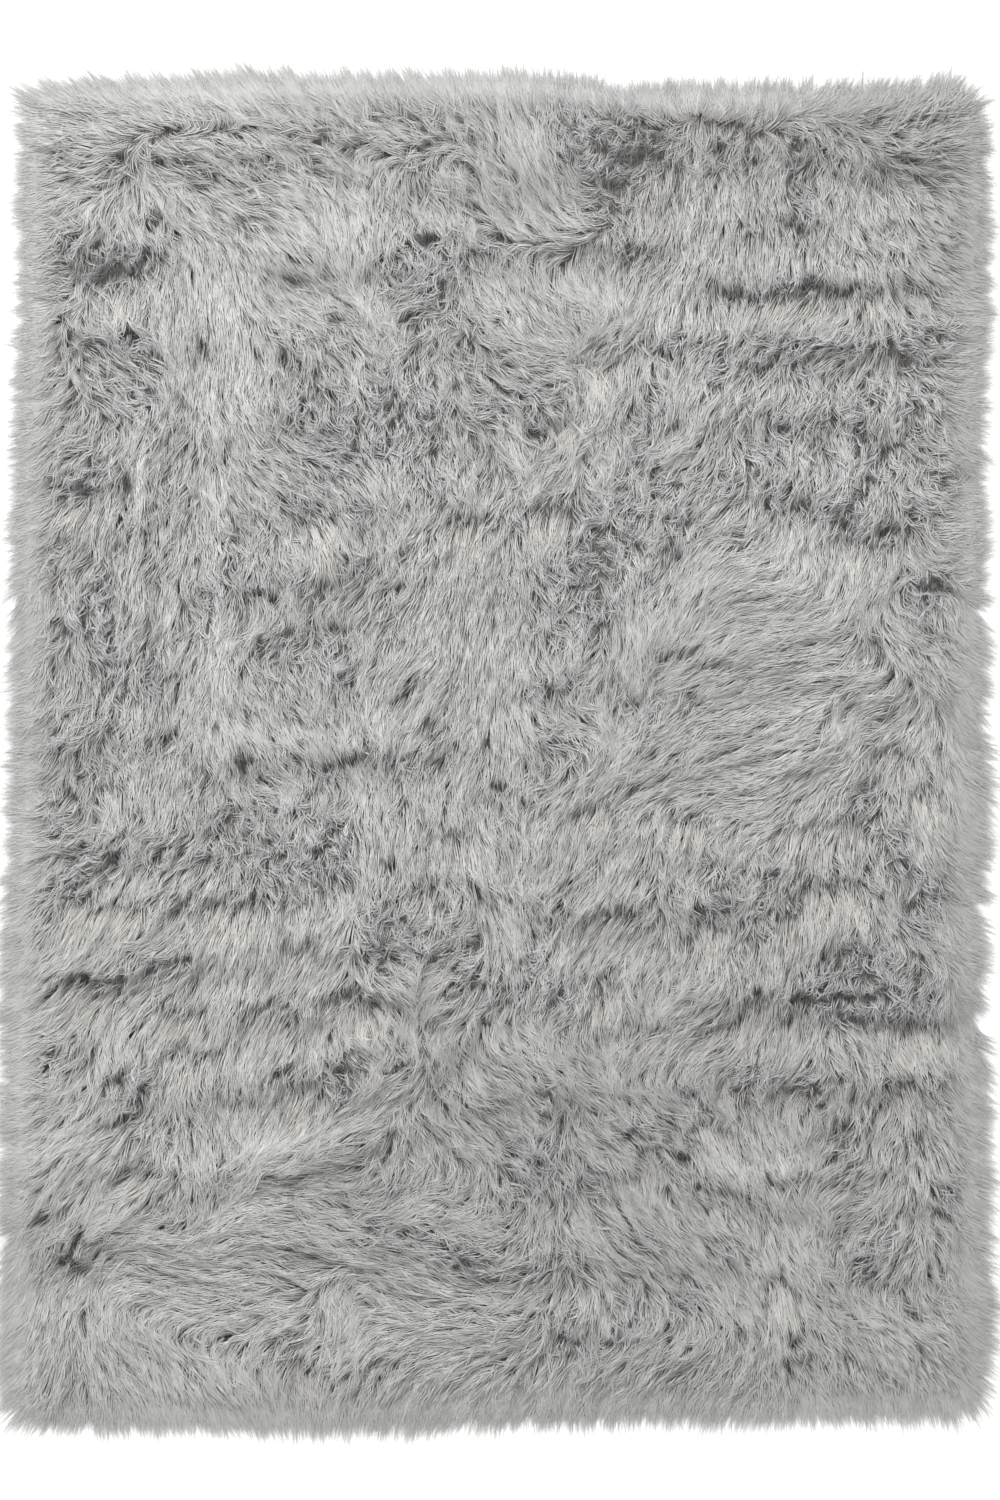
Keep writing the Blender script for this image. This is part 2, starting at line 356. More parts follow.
# Openings, where locks end and one looks down between them into the shade: middle, length and width, in
# millimetres, and the turn of the length, in degrees from +X. The locks behind a long one rise to a crest.
OPENING_COLUMNS = ("x", "y", "length", "width", "turn")
OPENINGS = (
    # back, left
    (-663, 887, 40, 8, 12), (-605, 896, 31, 8, 5), (-575, 918, 40, 6, 5), (-716, 938, 34, 5, 0),
    (-482, 912, 40, 9, -15), (-452, 887, 28, 9, -20), (-397, 822, 31, 11, -25), (-533, 828, 16, 34, -40),
    (-279, 963, 53, 8, -3), (-144, 993, 31, 8, -10), (-91, 947, 22, 12, -10), (-32, 955, 40, 8, -15),
    (-307, 929, 34, 5, 0), (-373, 906, 28, 9, -15), (-201, 884, 16, 19, 10), (-35, 842, 37, 12, -10),
    (-105, 802, 28, 14, -15), (-660, 747, 34, 14, -10), (-578, 774, 16, 9, -20), (-611, 755, 25, 9, -20),
    (-617, 608, 19, 11, 0), (-659, 622, 22, 8, -15), (-454, 626, 8, 22, 0), (-483, 542, 25, 12, 0),
    (-539, 558, 25, 9, -30), (-536, 605, 37, 8, -10), (-397, 670, 19, 11, -30), (-314, 727, 53, 8, -12),
    (-271, 730, 22, 9, 0), (-291, 708, 28, 8, -30), (-244, 673, 37, 9, -10), (-319, 608, 9, 28, -10),
    (-279, 583, 22, 8, 0), (-294, 546, 22, 9, 0),
    # back, middle
    (158, 960, 19, 9, 0), (190, 989, 34, 14, 0), (223, 969, 40, 9, 5), (252, 958, 31, 14, 10),
    (168, 915, 22, 11, 0), (176, 875, 31, 11, -5), (203, 927, 19, 9, 0), (248, 859, 53, 6, 0),
    (258, 910, 47, 6, 0), (341, 934, 16, 12, 0), (403, 920, 28, 11, 0), (469, 943, 28, 9, 10),
    (525, 963, 22, 8, -15), (575, 977, 40, 9, 0), (674, 979, 71, 8, 0), (606, 985, 25, 6, 5),
    (648, 913, 47, 9, -3), (705, 915, 25, 6, -5), (594, 884, 25, 8, -5), (471, 907, 16, 16, 0),
    (609, 811, 37, 6, 0), (663, 722, 43, 8, -12), (144, 774, 40, 8, 10), (221, 774, 78, 6, 3),
    (-80, 721, 19, 12, -30), (-97, 514, 31, 12, 0), (-170, 553, 34, 12, 0), (-144, 676, 16, 19, 0),
    (-227, 471, 19, 22, -20), (-123, 437, 8, 34, 0), (-9, 449, 16, 16, 0), (-254, 424, 22, 8, -20),
    # back, right
    (361, 712, 68, 9, -3), (454, 716, 93, 9, 0), (555, 716, 78, 9, 0), (403, 589, 37, 8, -3),
    (442, 499, 25, 8, -5), (567, 491, 34, 8, 10), (508, 480, 19, 9, 0), (625, 608, 22, 8, 10),
    (493, 583, 25, 8, -20), (572, 660, 25, 14, 0), (606, 465, 25, 14, 20), (476, 651, 16, 11, 0),
    (617, 705, 12, 12, 0), (707, 424, 53, 6, 0), (671, 429, 19, 11, 0), (637, 527, 22, 9, 0),
    (403, 429, 19, 11, 0), (679, 646, 47, 6, 0), (159, 625, 37, 12, -20), (125, 532, 37, 9, -8),
    (55, 488, 19, 22, -30), (35, 552, 28, 6, -20), (265, 518, 19, 9, 30), (279, 499, 19, 22, 20),
    (252, 622, 28, 12, -20), (369, 429, 25, 9, -5), (244, 432, 40, 9, 15),
    # middle, left
    (-617, 452, 28, 11, 0), (-575, 418, 8, 47, 0), (-648, 395, 68, 5, 0), (-671, 327, 19, 16, 0),
    (-583, 320, 16, 11, 20), (-625, 244, 22, 6, 0), (-508, 108, 25, 12, 30), (-511, 35, 25, 11, 5),
    (-601, 26, 16, 19, 0), (-702, 33, 43, 8, 0), (-606, -58, 43, 6, -12), (-454, -46, 22, 6, 8),
    (-660, -68, 34, 12, -10), (-392, -21, 37, 8, -10), (-555, -100, 16, 9, 0), (-299, 378, 53, 6, -3),
    (-307, 356, 19, 11, 0), (-280, 262, 22, 9, 0), (-241, 300, 19, 19, -30), (-206, 283, 50, 8, -5),
    (-147, 308, 25, 9, 10), (-353, 241, 50, 8, -30), (-328, 178, 22, 25, 0), (-364, 170, 22, 6, 0),
    (-257, 189, 34, 12, -15), (-220, 193, 16, 12, 0), (-237, 144, 31, 6, -5), (-58, 361, 28, 6, 10),
    (-92, 386, 8, 28, 10), (-102, 38, 25, 11, 10), (-307, -9, 22, 9, 0), (-266, -23, 22, 8, 0),
    (-240, -18, 22, 8, 0), (-289, -68, 19, 9, 0), (-88, -19, 22, 11, 0), (-142, -13, 22, 12, 0),
    # middle, right
    (154, 409, 16, 9, 0), (50, 378, 19, 11, 0), (97, 365, 12, 12, 0), (203, 334, 12, 9, 0),
    (263, 359, 28, 14, 0), (317, 350, 28, 9, 0), (275, 305, 37, 9, -15), (240, 262, 22, 14, 0),
    (136, 266, 19, 12, 0), (97, 210, 12, 22, 0), (133, 154, 16, 12, 0), (255, 144, 28, 8, 5),
    (293, 154, 25, 9, -15), (213, 77, 12, 28, 0), (299, 80, 37, 6, -30), (78, -41, 19, 11, 0),
    (4, -55, 25, 12, 0), (43, -85, 37, 6, -10), (178, -94, 19, 9, -10), (215, -49, 25, 8, 20),
    (263, -49, 28, 9, 15), (234, -1, 22, 6, 20), (151, -9, 19, 8, -30), (403, 331, 34, 9, -15),
    (485, 375, 25, 8, 15), (535, 353, 47, 11, -35), (606, 341, 40, 11, -5), (679, 257, 71, 8, 0),
    (648, 279, 19, 6, 0), (589, 175, 28, 11, -35), (443, 165, 9, 28, -15), (547, 75, 28, 12, -30),
    (597, 58, 28, 6, -10), (663, 130, 22, 9, -20), (671, 185, 25, 9, -30), (583, -52, 37, 11, 0),
    (629, -116, 9, 22, 0),
    # front, left
    (-646, -209, 19, 12, 0), (-586, -134, 37, 6, 20), (-508, -171, 12, 14, -30), (-609, -171, 28, 5, 0),
    (-488, -226, 53, 8, 10), (-485, -319, 43, 8, -10), (-541, -336, 16, 8, 20), (-442, -125, 37, 8, 0),
    (-392, -199, 16, 14, 0), (-350, -144, 22, 8, -30), (-279, -154, 53, 6, -3), (-175, -182, 59, 6, -10),
    (-108, -201, 56, 6, 0), (-379, -224, 16, 11, 0), (-338, -218, 25, 9, 0), (-296, -297, 28, 6, 0),
    (-184, -296, 19, 11, 0), (-167, -319, 40, 8, -10), (-77, -122, 40, 6, 0), (-144, -269, 9, 19, 10),
    (-676, -473, 68, 6, 3), (-656, -451, 19, 9, 0), (-578, -497, 14, 12, 0), (-550, -494, 14, 12, 0),
    (-544, -522, 16, 9, -20), (-547, -421, 16, 8, 0), (-497, -454, 43, 12, 5), (-578, -578, 40, 8, 20),
    (-597, -519, 31, 12, -10), (-648, -755, 16, 28, 30), (-485, -730, 56, 6, -5), (-353, -393, 53, 6, 15),
    (-252, -383, 93, 6, 3), (-333, -493, 28, 9, 0), (-235, -476, 28, 9, -25), (-248, -501, 22, 9, 0),
    (-235, -522, 19, 8, -30), (-105, -423, 16, 16, 0), (-148, -497, 37, 9, -10), (-365, -514, 19, 6, 0),
    (-23, -367, 22, 11, -10), (-80, -521, 25, 8, -20), (-195, -769, 25, 6, -10), (-26, -823, 25, 12, -30),
    (-133, -753, 28, 8, 0), (-322, -910, 28, 6, 15), (-190, -957, 78, 8, 15),
    # front, right
    (113, -204, 37, 6, 10), (108, -244, 22, 6, 0), (66, -263, 22, 6, 10), (50, -235, 22, 8, -20),
    (268, -212, 25, 9, 20), (291, -153, 53, 6, -5), (198, -249, 87, 6, 8), (314, -244, 22, 6, -10),
    (355, -213, 16, 16, 0), (370, -280, 28, 6, 0), (370, -171, 25, 6, -10), (43, -331, 34, 9, 0),
    (293, -302, 25, 16, 0), (423, -189, 31, 11, 0), (479, -199, 22, 11, 10), (547, -307, 25, 11, 5),
    (564, -181, 16, 11, 0), (594, -165, 16, 8, 0), (629, -179, 16, 8, 0), (679, -217, 14, 25, 0),
    (642, -243, 14, 11, -30), (463, -227, 22, 12, 10), (508, -331, 34, 8, 0), (159, -352, 62, 6, 3),
    (133, -482, 28, 9, -35), (74, -569, 25, 9, 10), (207, -598, 43, 8, 0), (291, -533, 40, 12, -20),
    (296, -634, 28, 8, 0), (271, -572, 25, 12, -40), (319, -674, 28, 12, 0), (355, -682, 22, 12, 0),
    (68, -533, 22, 12, -20), (535, -383, 40, 9, 0), (601, -376, 53, 6, 0), (663, -362, 31, 5, 0),
    (477, -384, 53, 8, 0), (415, -379, 34, 6, 0), (555, -417, 37, 11, 0), (411, -479, 25, 12, 0),
    (575, -473, 28, 8, -25), (508, -483, 25, 6, 0), (504, -546, 40, 8, 10), (532, -600, 47, 28, -10),
    (648, -600, 31, 22, -10), (653, -507, 71, 8, -5), (589, -584, 9, 40, 0), (524, -749, 47, 9, 5),
    (682, -831, 14, 12, -30), (648, -870, 28, 12, 0), (448, -913, 28, 12, 0), (469, -946, 71, 5, 0),
    (552, -944, 25, 9, -20), (601, -975, 22, 12, -40), (578, -814, 22, 8, 0), (108, -920, 28, 9, 0),
    (171, -926, 25, 12, 0), (353, -758, 34, 6, 0), (209, -744, 19, 9, -30), (97, -760, 19, 8, -20),
    (9, -837, 28, 6, 0),
    # the largest shades
    (-598, 735, 99, 22, 15), (221, 915, 102, 22, 0), (-645, 406, 87, 16, 0), (679, 248, 93, 17, 0),
    (532, -386, 171, 16, 3), (532, -584, 53, 22, 0), (-663, -792, 62, 19, -20), (-702, -730, 62, 14, 20),
    (-237, -494, 50, 22, 20), (581, -54, 43, 19, 0), (-113, 794, 47, 22, -20), (586, 991, 62, 12, 25),
    (465, 812, 50, 16, -25), (504, 716, 155, 12, 0), (637, 600, 34, 22, 0), (539, 352, 71, 14, -45),
    (-105, 36, 31, 19, 40), (-632, -356, 149, 11, 0), (-170, -319, 40, 19, -35), (-601, -173, 34, 14, 30),
    (265, -603, 9, 31, 30), (-58, -797, 90, 8, -35),
)
# How deep and dark an opening is, the share of it that is fully open, the darker and more ruffled strip
# around it, and the crest behind it. Then how ragged its edge is: the size of each raggedness and its reach.
OPENING_DEPTH = 0.50
OPENING_SHADE = 0.11
OPENING_CORE = 0.5
AROUND_REACH = 0.012
AROUND_SHADE = 0.05
AROUND_RUFFLE = 0.25
CREST_RUFFLE = 0.45
CREST_RISE = 0.16
CREST_FRONT = 0.006
CREST_REACH = 0.016
CREST_FADE = 0.008
LOWEST_CREST = 0.0015
HIGHEST_CREST = 0.0080
OPENING_RAGGED = ((0.020, 0.008), (0.050, 0.006))

# Small pits of the tousled pile, made by chance: how far apart they are, how rare, how much more of them full
# ruffle makes, how softly they start, and how deep they are.
PIT_SIZE = 0.020
PIT_LEVEL = 0.85
PIT_RUFFLE = 0.50
PIT_EDGE = 0.25
PIT_DEPTH = 0.35

# Lumps of the pile's top that lie the way it does: width and length of small locks, of the bunches that they
# form and of the long ropes of combed pile, the height of each, and how much calmer bare patches are. Their
# height also shades the pile.
LOCK_LUMP = (0.0035, 0.024)
BUNCH_LUMP = (0.009, 0.045)
ROPE_LUMP = (0.005, 0.100)
HIGHEST_LUMP = 2.0
LOCK_RELIEF = (0.0010, 0.0014)
BUNCH_RELIEF = 0.0020
BUNCH_RUFFLE = (0.6, 0.8)
ROPE_RELIEF = 0.0015
BARE_LOCK_CALM = 0.6
BARE_BUNCH_CALM = 0.5
RELIEF_SHADE = 10.0

# The map that the pile is kept on, and how far its values are smoothed. Pile lower than LOW_PILE, at the rim,
# loses its relief.
MAP_STEP = 0.004
MAP_MARGIN = 0.060
LOW_PILE = 0.020
SMOOTHING = 0.008
TOP_SMOOTHING = 0.003

# How locks vary. A pair is a size in combed pile, and what full ruffle adds to it, and its angles are in
# degrees. The lean and the parting of parted locks are in radians.
DRAW_SPREAD = 0.6
FURTHEST_DRAW = 1.5
LEAN = (3.0, 26.0)
PARTED_LEAN = 0.45
FULLY_PARTED = 0.8
TURN = (6.0, 100.0)
TURN_POWER = 1.5
REACH_CHANCE = 0.10
RUFFLED_SHORTER = 0.42
GATHERING = 0.0010

# Where a lock ends before an opening or a bare patch: the shares of its reach that are tried, how closed the
# place has to be, the least share that is kept, and the ruffle of a lock that is cut short.
ENDING_SHARES = (0.90, 0.75, 0.60, 0.45)
CLOSED_FROM = 0.35
LEAST_KEPT = 0.50
CUT_RUFFLE = 0.5

# The sheaf of strands in a lock: how it draws together, how uneven its strands are, how much lower its sides
# are than its middle, and how its strands rise from their roots.
GATHER = 0.18
RUFFLED_GATHER = 0.42
GATHER_START = 0.1
RAGGED = 0.24
LONGEST_EXTRA = 0.14
BESIDE_CHANCE = 0.25
BEND = (2.5, 7.0)
ROLL = (4.0, 8.0)
LOCK_ROUNDING = 0.0022
TIP_FLATTER = 0.6
STRAND_WIDTHS = (0.60, 1.30)
STRAND_TONE = (0.022, 0.022)
LOCK_TONE = 0.030
LARGEST_STREAK = 2.5
RISE_SHARES = (0.0, 0.33, 0.67, 1.0)
RISE_HEIGHTS = (-0.0110, -0.0012, 0.0, 0.0004)
PARTED_FLATTER = 0.75
LOCK_DEPTH = (0.0012, 0.0046)
STRAND_DEPTH = 0.0008
LIFT = (0.0003, 0.0009)
LOCK_LIFT = (0.0010, 0.0050)
LIFT_POWER = 1.5
LOWEST_HAIR = 0.0012
TAPER_SHARES = (0.0, 0.3, 0.75, 1.0)
TAPER_WIDTHS = (0.65, 1.0, 0.70, 0.0)

# The streaks of single hairs on a strand: how fine they are across it, how often they change along it, and
# how far apart the patterns of two strands are.
HAIR_FINENESS = 620.0
HAIR_CHANGES = 2.0
STRAND_APART = 1.7

# The rim's locks: the band that their roots stand in, how far past the edge they reach as a share of
# RIM_REACH, how far they are turned out, the least that they face the edge, how much longer they are at the
# corners, and what their strands have instead of the other locks' sizes.
RIM_BAND = 0.030
RIM_BAND_SHARES = (0.2, 1.0)
RIM_OVERREACH = (1.12, 1.42)
RIM_TURNED_OUT = 0.38
LEAST_FACING = 0.75
CORNER_STRETCH = 0.32
RIM_STRANDS = 16
RIM_STRAND_WIDTH = 0.75
RIM_LOCK_WIDTH = 2.8
RIM_GATHER = 0.05
RIM_RAGGED = 0.42

# Steps in which a lock is laid over the rug, and its width as a share of the distance between locks.
COMBED_STEPS = 2
RUFFLED_STEPS = 3
LOCK_OVERLAP = 1.15

# Seeds of the chance that places and shapes the locks.
ROOT_SEED = 31
RIM_ROOT_SEED = 41
RIM_BAND_SEED = 42
RELIEF_SEED = 51
COMBED_SEED = 200
RUFFLED_SEED = 300
RIM_SEED = 400

COMBED_PIECES = ("combed_hair_front", "combed_hair_middle", "combed_hair_back")
RUFFLED_PIECES = ("ruffled_hair_front", "ruffled_hair_middle", "ruffled_hair_back")

# The backing cloth and the short fur on it.
BACKING_THICKNESS = 0.0018
BACKING_CLEARANCE = 0.0003
BACKING_STEPS = (40, 56)
UNDERFUR_STEPS = (118, 164)
UNDERFUR_CLEARANCE = 0.0010
UNDERFUR_SHARE = 0.32
UNDERFUR_SMOOTHING = 0.005
UNDERFUR_TUCK = 0.020
UNDERFUR_DIMMING = 0.15
HALF_RUG = 0.75
TEXTURE_HALF = 0.49
YARN_SCALE = 110.0

# The floor, the lamp and the camera. The camera's view is measured at the pile's usual level.
FLOOR_REACH = 9.0
KEY_PLACE = (-3.0, 8.0, 8.3)
KEY_SIZE = (4.2, 3.0)
CAMERA_PLACE = (0.004, 0.002)
SENSOR_HEIGHT = 36.0
PILE_LEVEL = 0.03
FURTHEST_SEEN = 50.0


class ShagRugPile(bpy.types.PropertyGroup):
    """Sizes of the pile."""

    lock_spacing: FloatProperty(
        name="Lock spacing",
        description="Distance between the roots of neighbouring locks",
        default=0.0098,
        unit="LENGTH",
    )
    rim_lock_spacing: FloatProperty(
        name="Rim lock spacing",
        description="Distance between the locks that hang over the edge of the backing",
        default=0.0066,
        unit="LENGTH",
    )
    strands_in_lock: IntProperty(
        name="Strands in a lock",
        description="Fine strands in each clump of combed pile",
        default=8,
    )
    strands_in_ruffled_lock: IntProperty(
        name="Strands in a ruffled lock",
        description="Fine strands in each clump of ruffled pile",
        default=6,
    )
    hair_reach: FloatProperty(
        name="Hair reach",
        description="How far a hair reaches from its root, measured along the floor",
        default=0.046,
        unit="LENGTH",
    )
    strand_width: FloatProperty(
        name="Strand width",
        description="Width of a strand of hairs at its widest",
        default=0.0013,
        unit="LENGTH",
    )
    ruffled_from: FloatProperty(
        name="Ruffled from",
        description="Share of ruffle from which a lock counts as ruffled and gets an extra bend",
        default=0.45,
        subtype="FACTOR",
    )


class ShagRugColours(bpy.types.PropertyGroup):
    """Colours of the pile, its backing and the floor."""

    tip: FloatVectorProperty(
        name="Tip",
        description="Colour of combed hair towards its tip",
        default=(0.508, 0.511, 0.494),
        subtype="COLOR",
    )
    ruffled_tip: FloatVectorProperty(
        name="Ruffled tip",
        description="Colour of tousled hair towards its tip",
        default=(0.474, 0.479, 0.481),
        subtype="COLOR",
    )
    root: FloatVectorProperty(
        name="Root",
        description="Colour of the hair near its root",
        default=(0.380, 0.369, 0.352),
        subtype="COLOR",
    )
    bare_root: FloatVectorProperty(
        name="Bare root",
        description="Colour of the straight hair roots in the bare patches",
        default=(0.502, 0.494, 0.471),
        subtype="COLOR",
    )
    underfur: FloatVectorProperty(
        name="Underfur",
        description="Colour of the short dense fur at the roots",
        default=(0.340, 0.328, 0.312),
        subtype="COLOR",
    )
    backing: FloatVectorProperty(
        name="Backing",
        description="Colour of the backing's yarn",
        default=(0.520, 0.500, 0.465),
        subtype="COLOR",
    )
    floor: FloatVectorProperty(
        name="Floor",
        description="Colour of the floor",
        default=(0.955, 0.955, 0.950),
        subtype="COLOR",
    )


class ShagRugStage(bpy.types.PropertyGroup):
    """The view and the light."""

    camera_height: FloatProperty(
        name="Camera height",
        description="Height of the camera over the floor",
        default=5.5,
        unit="LENGTH",
    )
    view_length: FloatProperty(
        name="View length",
        description="Length of floor that the long side of the picture takes in",
        default=2.328,
        unit="LENGTH",
    )
    sky: FloatProperty(
        name="Sky",
        description="Strength of the even light from all round",
        default=0.74,
    )
    key_power: FloatProperty(
        name="Key power",
        description="Power of the large soft lamp behind the rug's left corner",
        default=1505.0,
        unit="POWER",
    )


def column(table, names, name, unit):
    """One named column of a table, brought from its own unit to metres, radians or a share of 1."""
    place = names.index(name)
    return np.array([row[place] for row in table]) * unit


def outline_reach(table, names, name, place):
    """How far the tips of the pile are from the middle at one place or more."""
    stations = column(table, names, names[0], MILLIMETRE)
    return np.interp(place, stations, column(table, names, name, MILLIMETRE))


def inside_edge(x, y):
    """How far places are inside the edge of the backing; less than nothing outside it."""
    left = x + outline_reach(SIDES, SIDE_COLUMNS, "left", y)
    right = outline_reach(SIDES, SIDE_COLUMNS, "right", y) - x
    front = y + outline_reach(ENDS, END_COLUMNS, "front", x)
    back = outline_reach(ENDS, END_COLUMNS, "back", x) - y
    sideways = np.minimum(left, right) - RIM_REACH
    lengthways = np.minimum(front, back) - RIM_REACH
    corner = CORNER_ROUNDING - np.hypot(
        np.maximum(0.0, CORNER_ROUNDING - sideways), np.maximum(0.0, CORNER_ROUNDING - lengthways)
    )
    return np.minimum(corner, np.minimum(sideways, lengthways))


def wander(x, y, size, seed):
    """A smooth field from about -1 to 1 whose hills are about `size` apart."""
    places = (Vector((at_x / size, at_y / size, seed)) for at_x, at_y in zip(x.flat, y.flat))
    return np.array([noise.noise(place) for place in places]).reshape(x.shape) * 2.0


def eased(share):
    """An eased step from 0 to 1."""
    share = np.clip(share, 0.0, 1.0)
    return share * share * (3.0 - 2.0 * share)


def by_ruffle(pair, ruffle):
    """A size of combed pile, with what ruffle adds to it."""
    combed, added = pair
    return combed + added * ruffle


def turned(x, y, turn):
    """Places measured along and across a line that is turned from +X."""
    return x * math.cos(turn) + y * math.sin(turn), y * math.cos(turn) - x * math.sin(turn)


def softened(values, reach):
    """A map whose values are each drawn towards those around them, about as far as `reach`."""
    for _ in range(round(2.0 * (reach / MAP_STEP) ** 2)):
        padded = np.pad(values, 1, mode="edge")
        values = (padded[:-2, 1:-1] + 2.0 * padded[1:-1, 1:-1] + padded[2:, 1:-1]) / 4.0
        padded = np.pad(values, 1, mode="edge")
        values = (padded[1:-1, :-2] + 2.0 * padded[1:-1, 1:-1] + padded[1:-1, 2:]) / 4.0
    return values


class PileMap:
    """How the pile lies all over the rug, kept on an even grid and read between its points."""

    def __init__(self):
        low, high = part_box(RUG_NODE)
        self.across = np.arange(low.x - MAP_MARGIN, high.x + MAP_MARGIN, MAP_STEP)
        self.lengthways = np.arange(low.y - MAP_MARGIN, high.y + MAP_MARGIN, MAP_STEP)
        self.x, self.y = np.meshgrid(self.across, self.lengthways)
        self.exposed = self.bare_patches()
        solid = self.solid_top()
        self.way_x, self.way_y, self.ruffle, self.parting = self.lie_of_pile(solid)
        self.opening, around, crest = self.openings()
        swell = self.swells()
        self.ruffle += AROUND_RUFFLE * around + CREST_RUFFLE * crest / HIGHEST_CREST - SWELL_COMBING * swell
        self.ruffle = np.clip(self.ruffle, 0.0, 1.0) * (1.0 - BARE_COMBING * self.exposed)
        pits = wander(self.x, self.y, PIT_SIZE, seed=17.0) - PIT_LEVEL + PIT_RUFFLE * self.ruffle
        pits = eased(pits / PIT_EDGE) * self.ruffle
        self.hollow = np.maximum(self.opening, np.maximum(PIT_DEPTH * pits, BARE_DEPTH * self.exposed))
        relief = self.lock_relief()
        self.slope_y, self.slope_x = np.gradient(relief, MAP_STEP)
        near_floor = np.clip(solid / LOW_PILE, 0.0, 1.0)
        raised = crest + relief + SWELL_HEIGHT * swell
        self.top = solid * (1.0 - OPENING_DEPTH * self.hollow) + raised * near_floor
        self.shade = swell - OPENING_SHADE * self.opening - AROUND_SHADE * around + RELIEF_SHADE * relief
        self.rise_y, self.rise_x = np.gradient(softened(self.top, TOP_SMOOTHING), MAP_STEP)

    def solid_top(self):
        """Height of the solid rug's top, with its steps smoothed out."""
        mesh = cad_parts[RUG_NODE].data
        corners = [point.co for point in mesh.vertices]
        solid = BVHTree.FromPolygons(corners, [tuple(face.vertices) for face in mesh.polygons])
        heights = []
        for x, y in zip(self.x.flat, self.y.flat):
            hit = solid.ray_cast(Vector((x, y, 1.0)), Vector((0.0, 0.0, -1.0)))[0]
            heights.append(hit.z if hit else 0.0)
        return softened(np.array(heights).reshape(self.x.shape), SMOOTHING)

    def lock_relief(self):
        """Long narrow lumps that lie the way the pile does: small locks, their bunches, and combed ropes."""
        chance = np.random.default_rng(RELIEF_SEED)
        locks = self.lumps(chance, *LOCK_LUMP)
        bunches = self.lumps(chance, *BUNCH_LUMP)
        ropes = self.lumps(chance, *ROPE_LUMP)
        locks *= by_ruffle(LOCK_RELIEF, self.ruffle) * (1.0 - BARE_LOCK_CALM * self.exposed)
        covered = 1.0 - BARE_BUNCH_CALM * self.exposed
        bunches *= BUNCH_RELIEF * by_ruffle(BUNCH_RUFFLE, self.ruffle) * covered
        ropes *= ROPE_RELIEF * (1.0 - self.ruffle) * covered
        return locks + bunches + ropes

    def lumps(self, chance, width, length):
        """Lumps by chance, drawn out the way that the pile lies and brought back to their strength."""
        values = softened(chance.normal(size=self.x.shape), width)
        total = values.copy()
        for direction in (1.0, -1.0):
            x, y = self.x, self.y
            for _ in range(round(length / MAP_STEP)):
                way_x = self.read(self.way_x, x, y)
                way_y = self.read(self.way_y, x, y)
                x = x + direction * way_x * MAP_STEP
                y = y + direction * way_y * MAP_STEP
                total += self.read(values, x, y)
        return np.clip(total / total.std(), -HIGHEST_LUMP, HIGHEST_LUMP)

    def openings(self):
        """1 in the dark openings, 1 around them, and the height of the crests behind the long ones."""
        opening = np.zeros_like(self.x)
        around = np.zeros_like(self.x)
        crest = np.zeros_like(self.x)
        ragged_x = self.raggedness(29.0)
        ragged_y = self.raggedness(31.0)
        for row in OPENINGS:
            gap = dict(zip(OPENING_COLUMNS, row))
            x = gap["x"] * MILLIMETRE
            y = gap["y"] * MILLIMETRE
            half_length = gap["length"] * MILLIMETRE / 2
            half_width = gap["width"] * MILLIMETRE / 2
            turn = math.radians(gap["turn"])
            along, across = turned(self.x - x + ragged_x, self.y - y + ragged_y, turn)
            from_middle = np.hypot(along / half_length, across / half_width)
            opening = np.maximum(opening, 1.0 - eased((from_middle - OPENING_CORE) / (1.0 - OPENING_CORE)))
            from_middle = np.hypot(along / (half_length + AROUND_REACH), across / (half_width + AROUND_REACH))
            around = np.maximum(around, np.exp(-(from_middle ** 2)))
            way = self.read(self.way_y, x, y) * math.cos(turn) - self.read(self.way_x, x, y) * math.sin(turn)
            behind = across * (-1.0 if way > 0.0 else 1.0) - half_width
            slope = eased(behind / CREST_FRONT + 0.5) * np.exp(-((behind / CREST_REACH) ** 2))
            fade = np.exp(-((along / (half_length + CREST_FADE)) ** 2))
            rise = np.clip(half_length * CREST_RISE, LOWEST_CREST, HIGHEST_CREST)
            crest = np.maximum(crest, rise * fade * slope)
        return opening, around, crest

    def raggedness(self, seed):
        """How far the edges of the openings are moved by chance."""
        return sum(
            wander(self.x, self.y, size, seed + number) * reach
            for number, (size, reach) in enumerate(OPENING_RAGGED)
        )

    def bare_patches(self):
        """1 in the bare patches and 0 away from them, with a ragged edge."""
        ragged = wander(self.x, self.y, BARE_RAGGED_SIZE, seed=4.0) * BARE_RAGGED_REACH
        exposed = np.zeros_like(self.x)
        for row in BARE_PATCHES:
            patch = dict(zip(BARE_COLUMNS, row))
            past_side = np.abs(self.x - patch["x"] * MILLIMETRE) - patch["width"] * MILLIMETRE / 2
            past_end = np.abs(self.y - patch["y"] * MILLIMETRE) - patch["depth"] * MILLIMETRE / 2
            outside = np.maximum(past_side, past_end) + ragged
            exposed = np.maximum(exposed, 1.0 - eased(outside / BARE_EDGE + BARE_EDGE_START))
        return exposed

    def swells(self):
        """How much paler the pile is for its swells and dips, as a share of its colour."""
        shade = np.zeros_like(self.x)
        for row in SWELLS:
            swell = dict(zip(SWELL_COLUMNS, row))
            from_x = self.x - swell["x"] * MILLIMETRE
            from_y = self.y - swell["y"] * MILLIMETRE
            along, across = turned(from_x, from_y, math.radians(swell["turn"]))
            reach = np.hypot(along / swell["length"], across / swell["width"]) * 2.0 / MILLIMETRE
            fades = sum(strength * np.exp(-fading * reach ** 2) for strength, fading in SWELL_FADES)
            shade += swell["shade"] * PERCENT * fades
        return shade

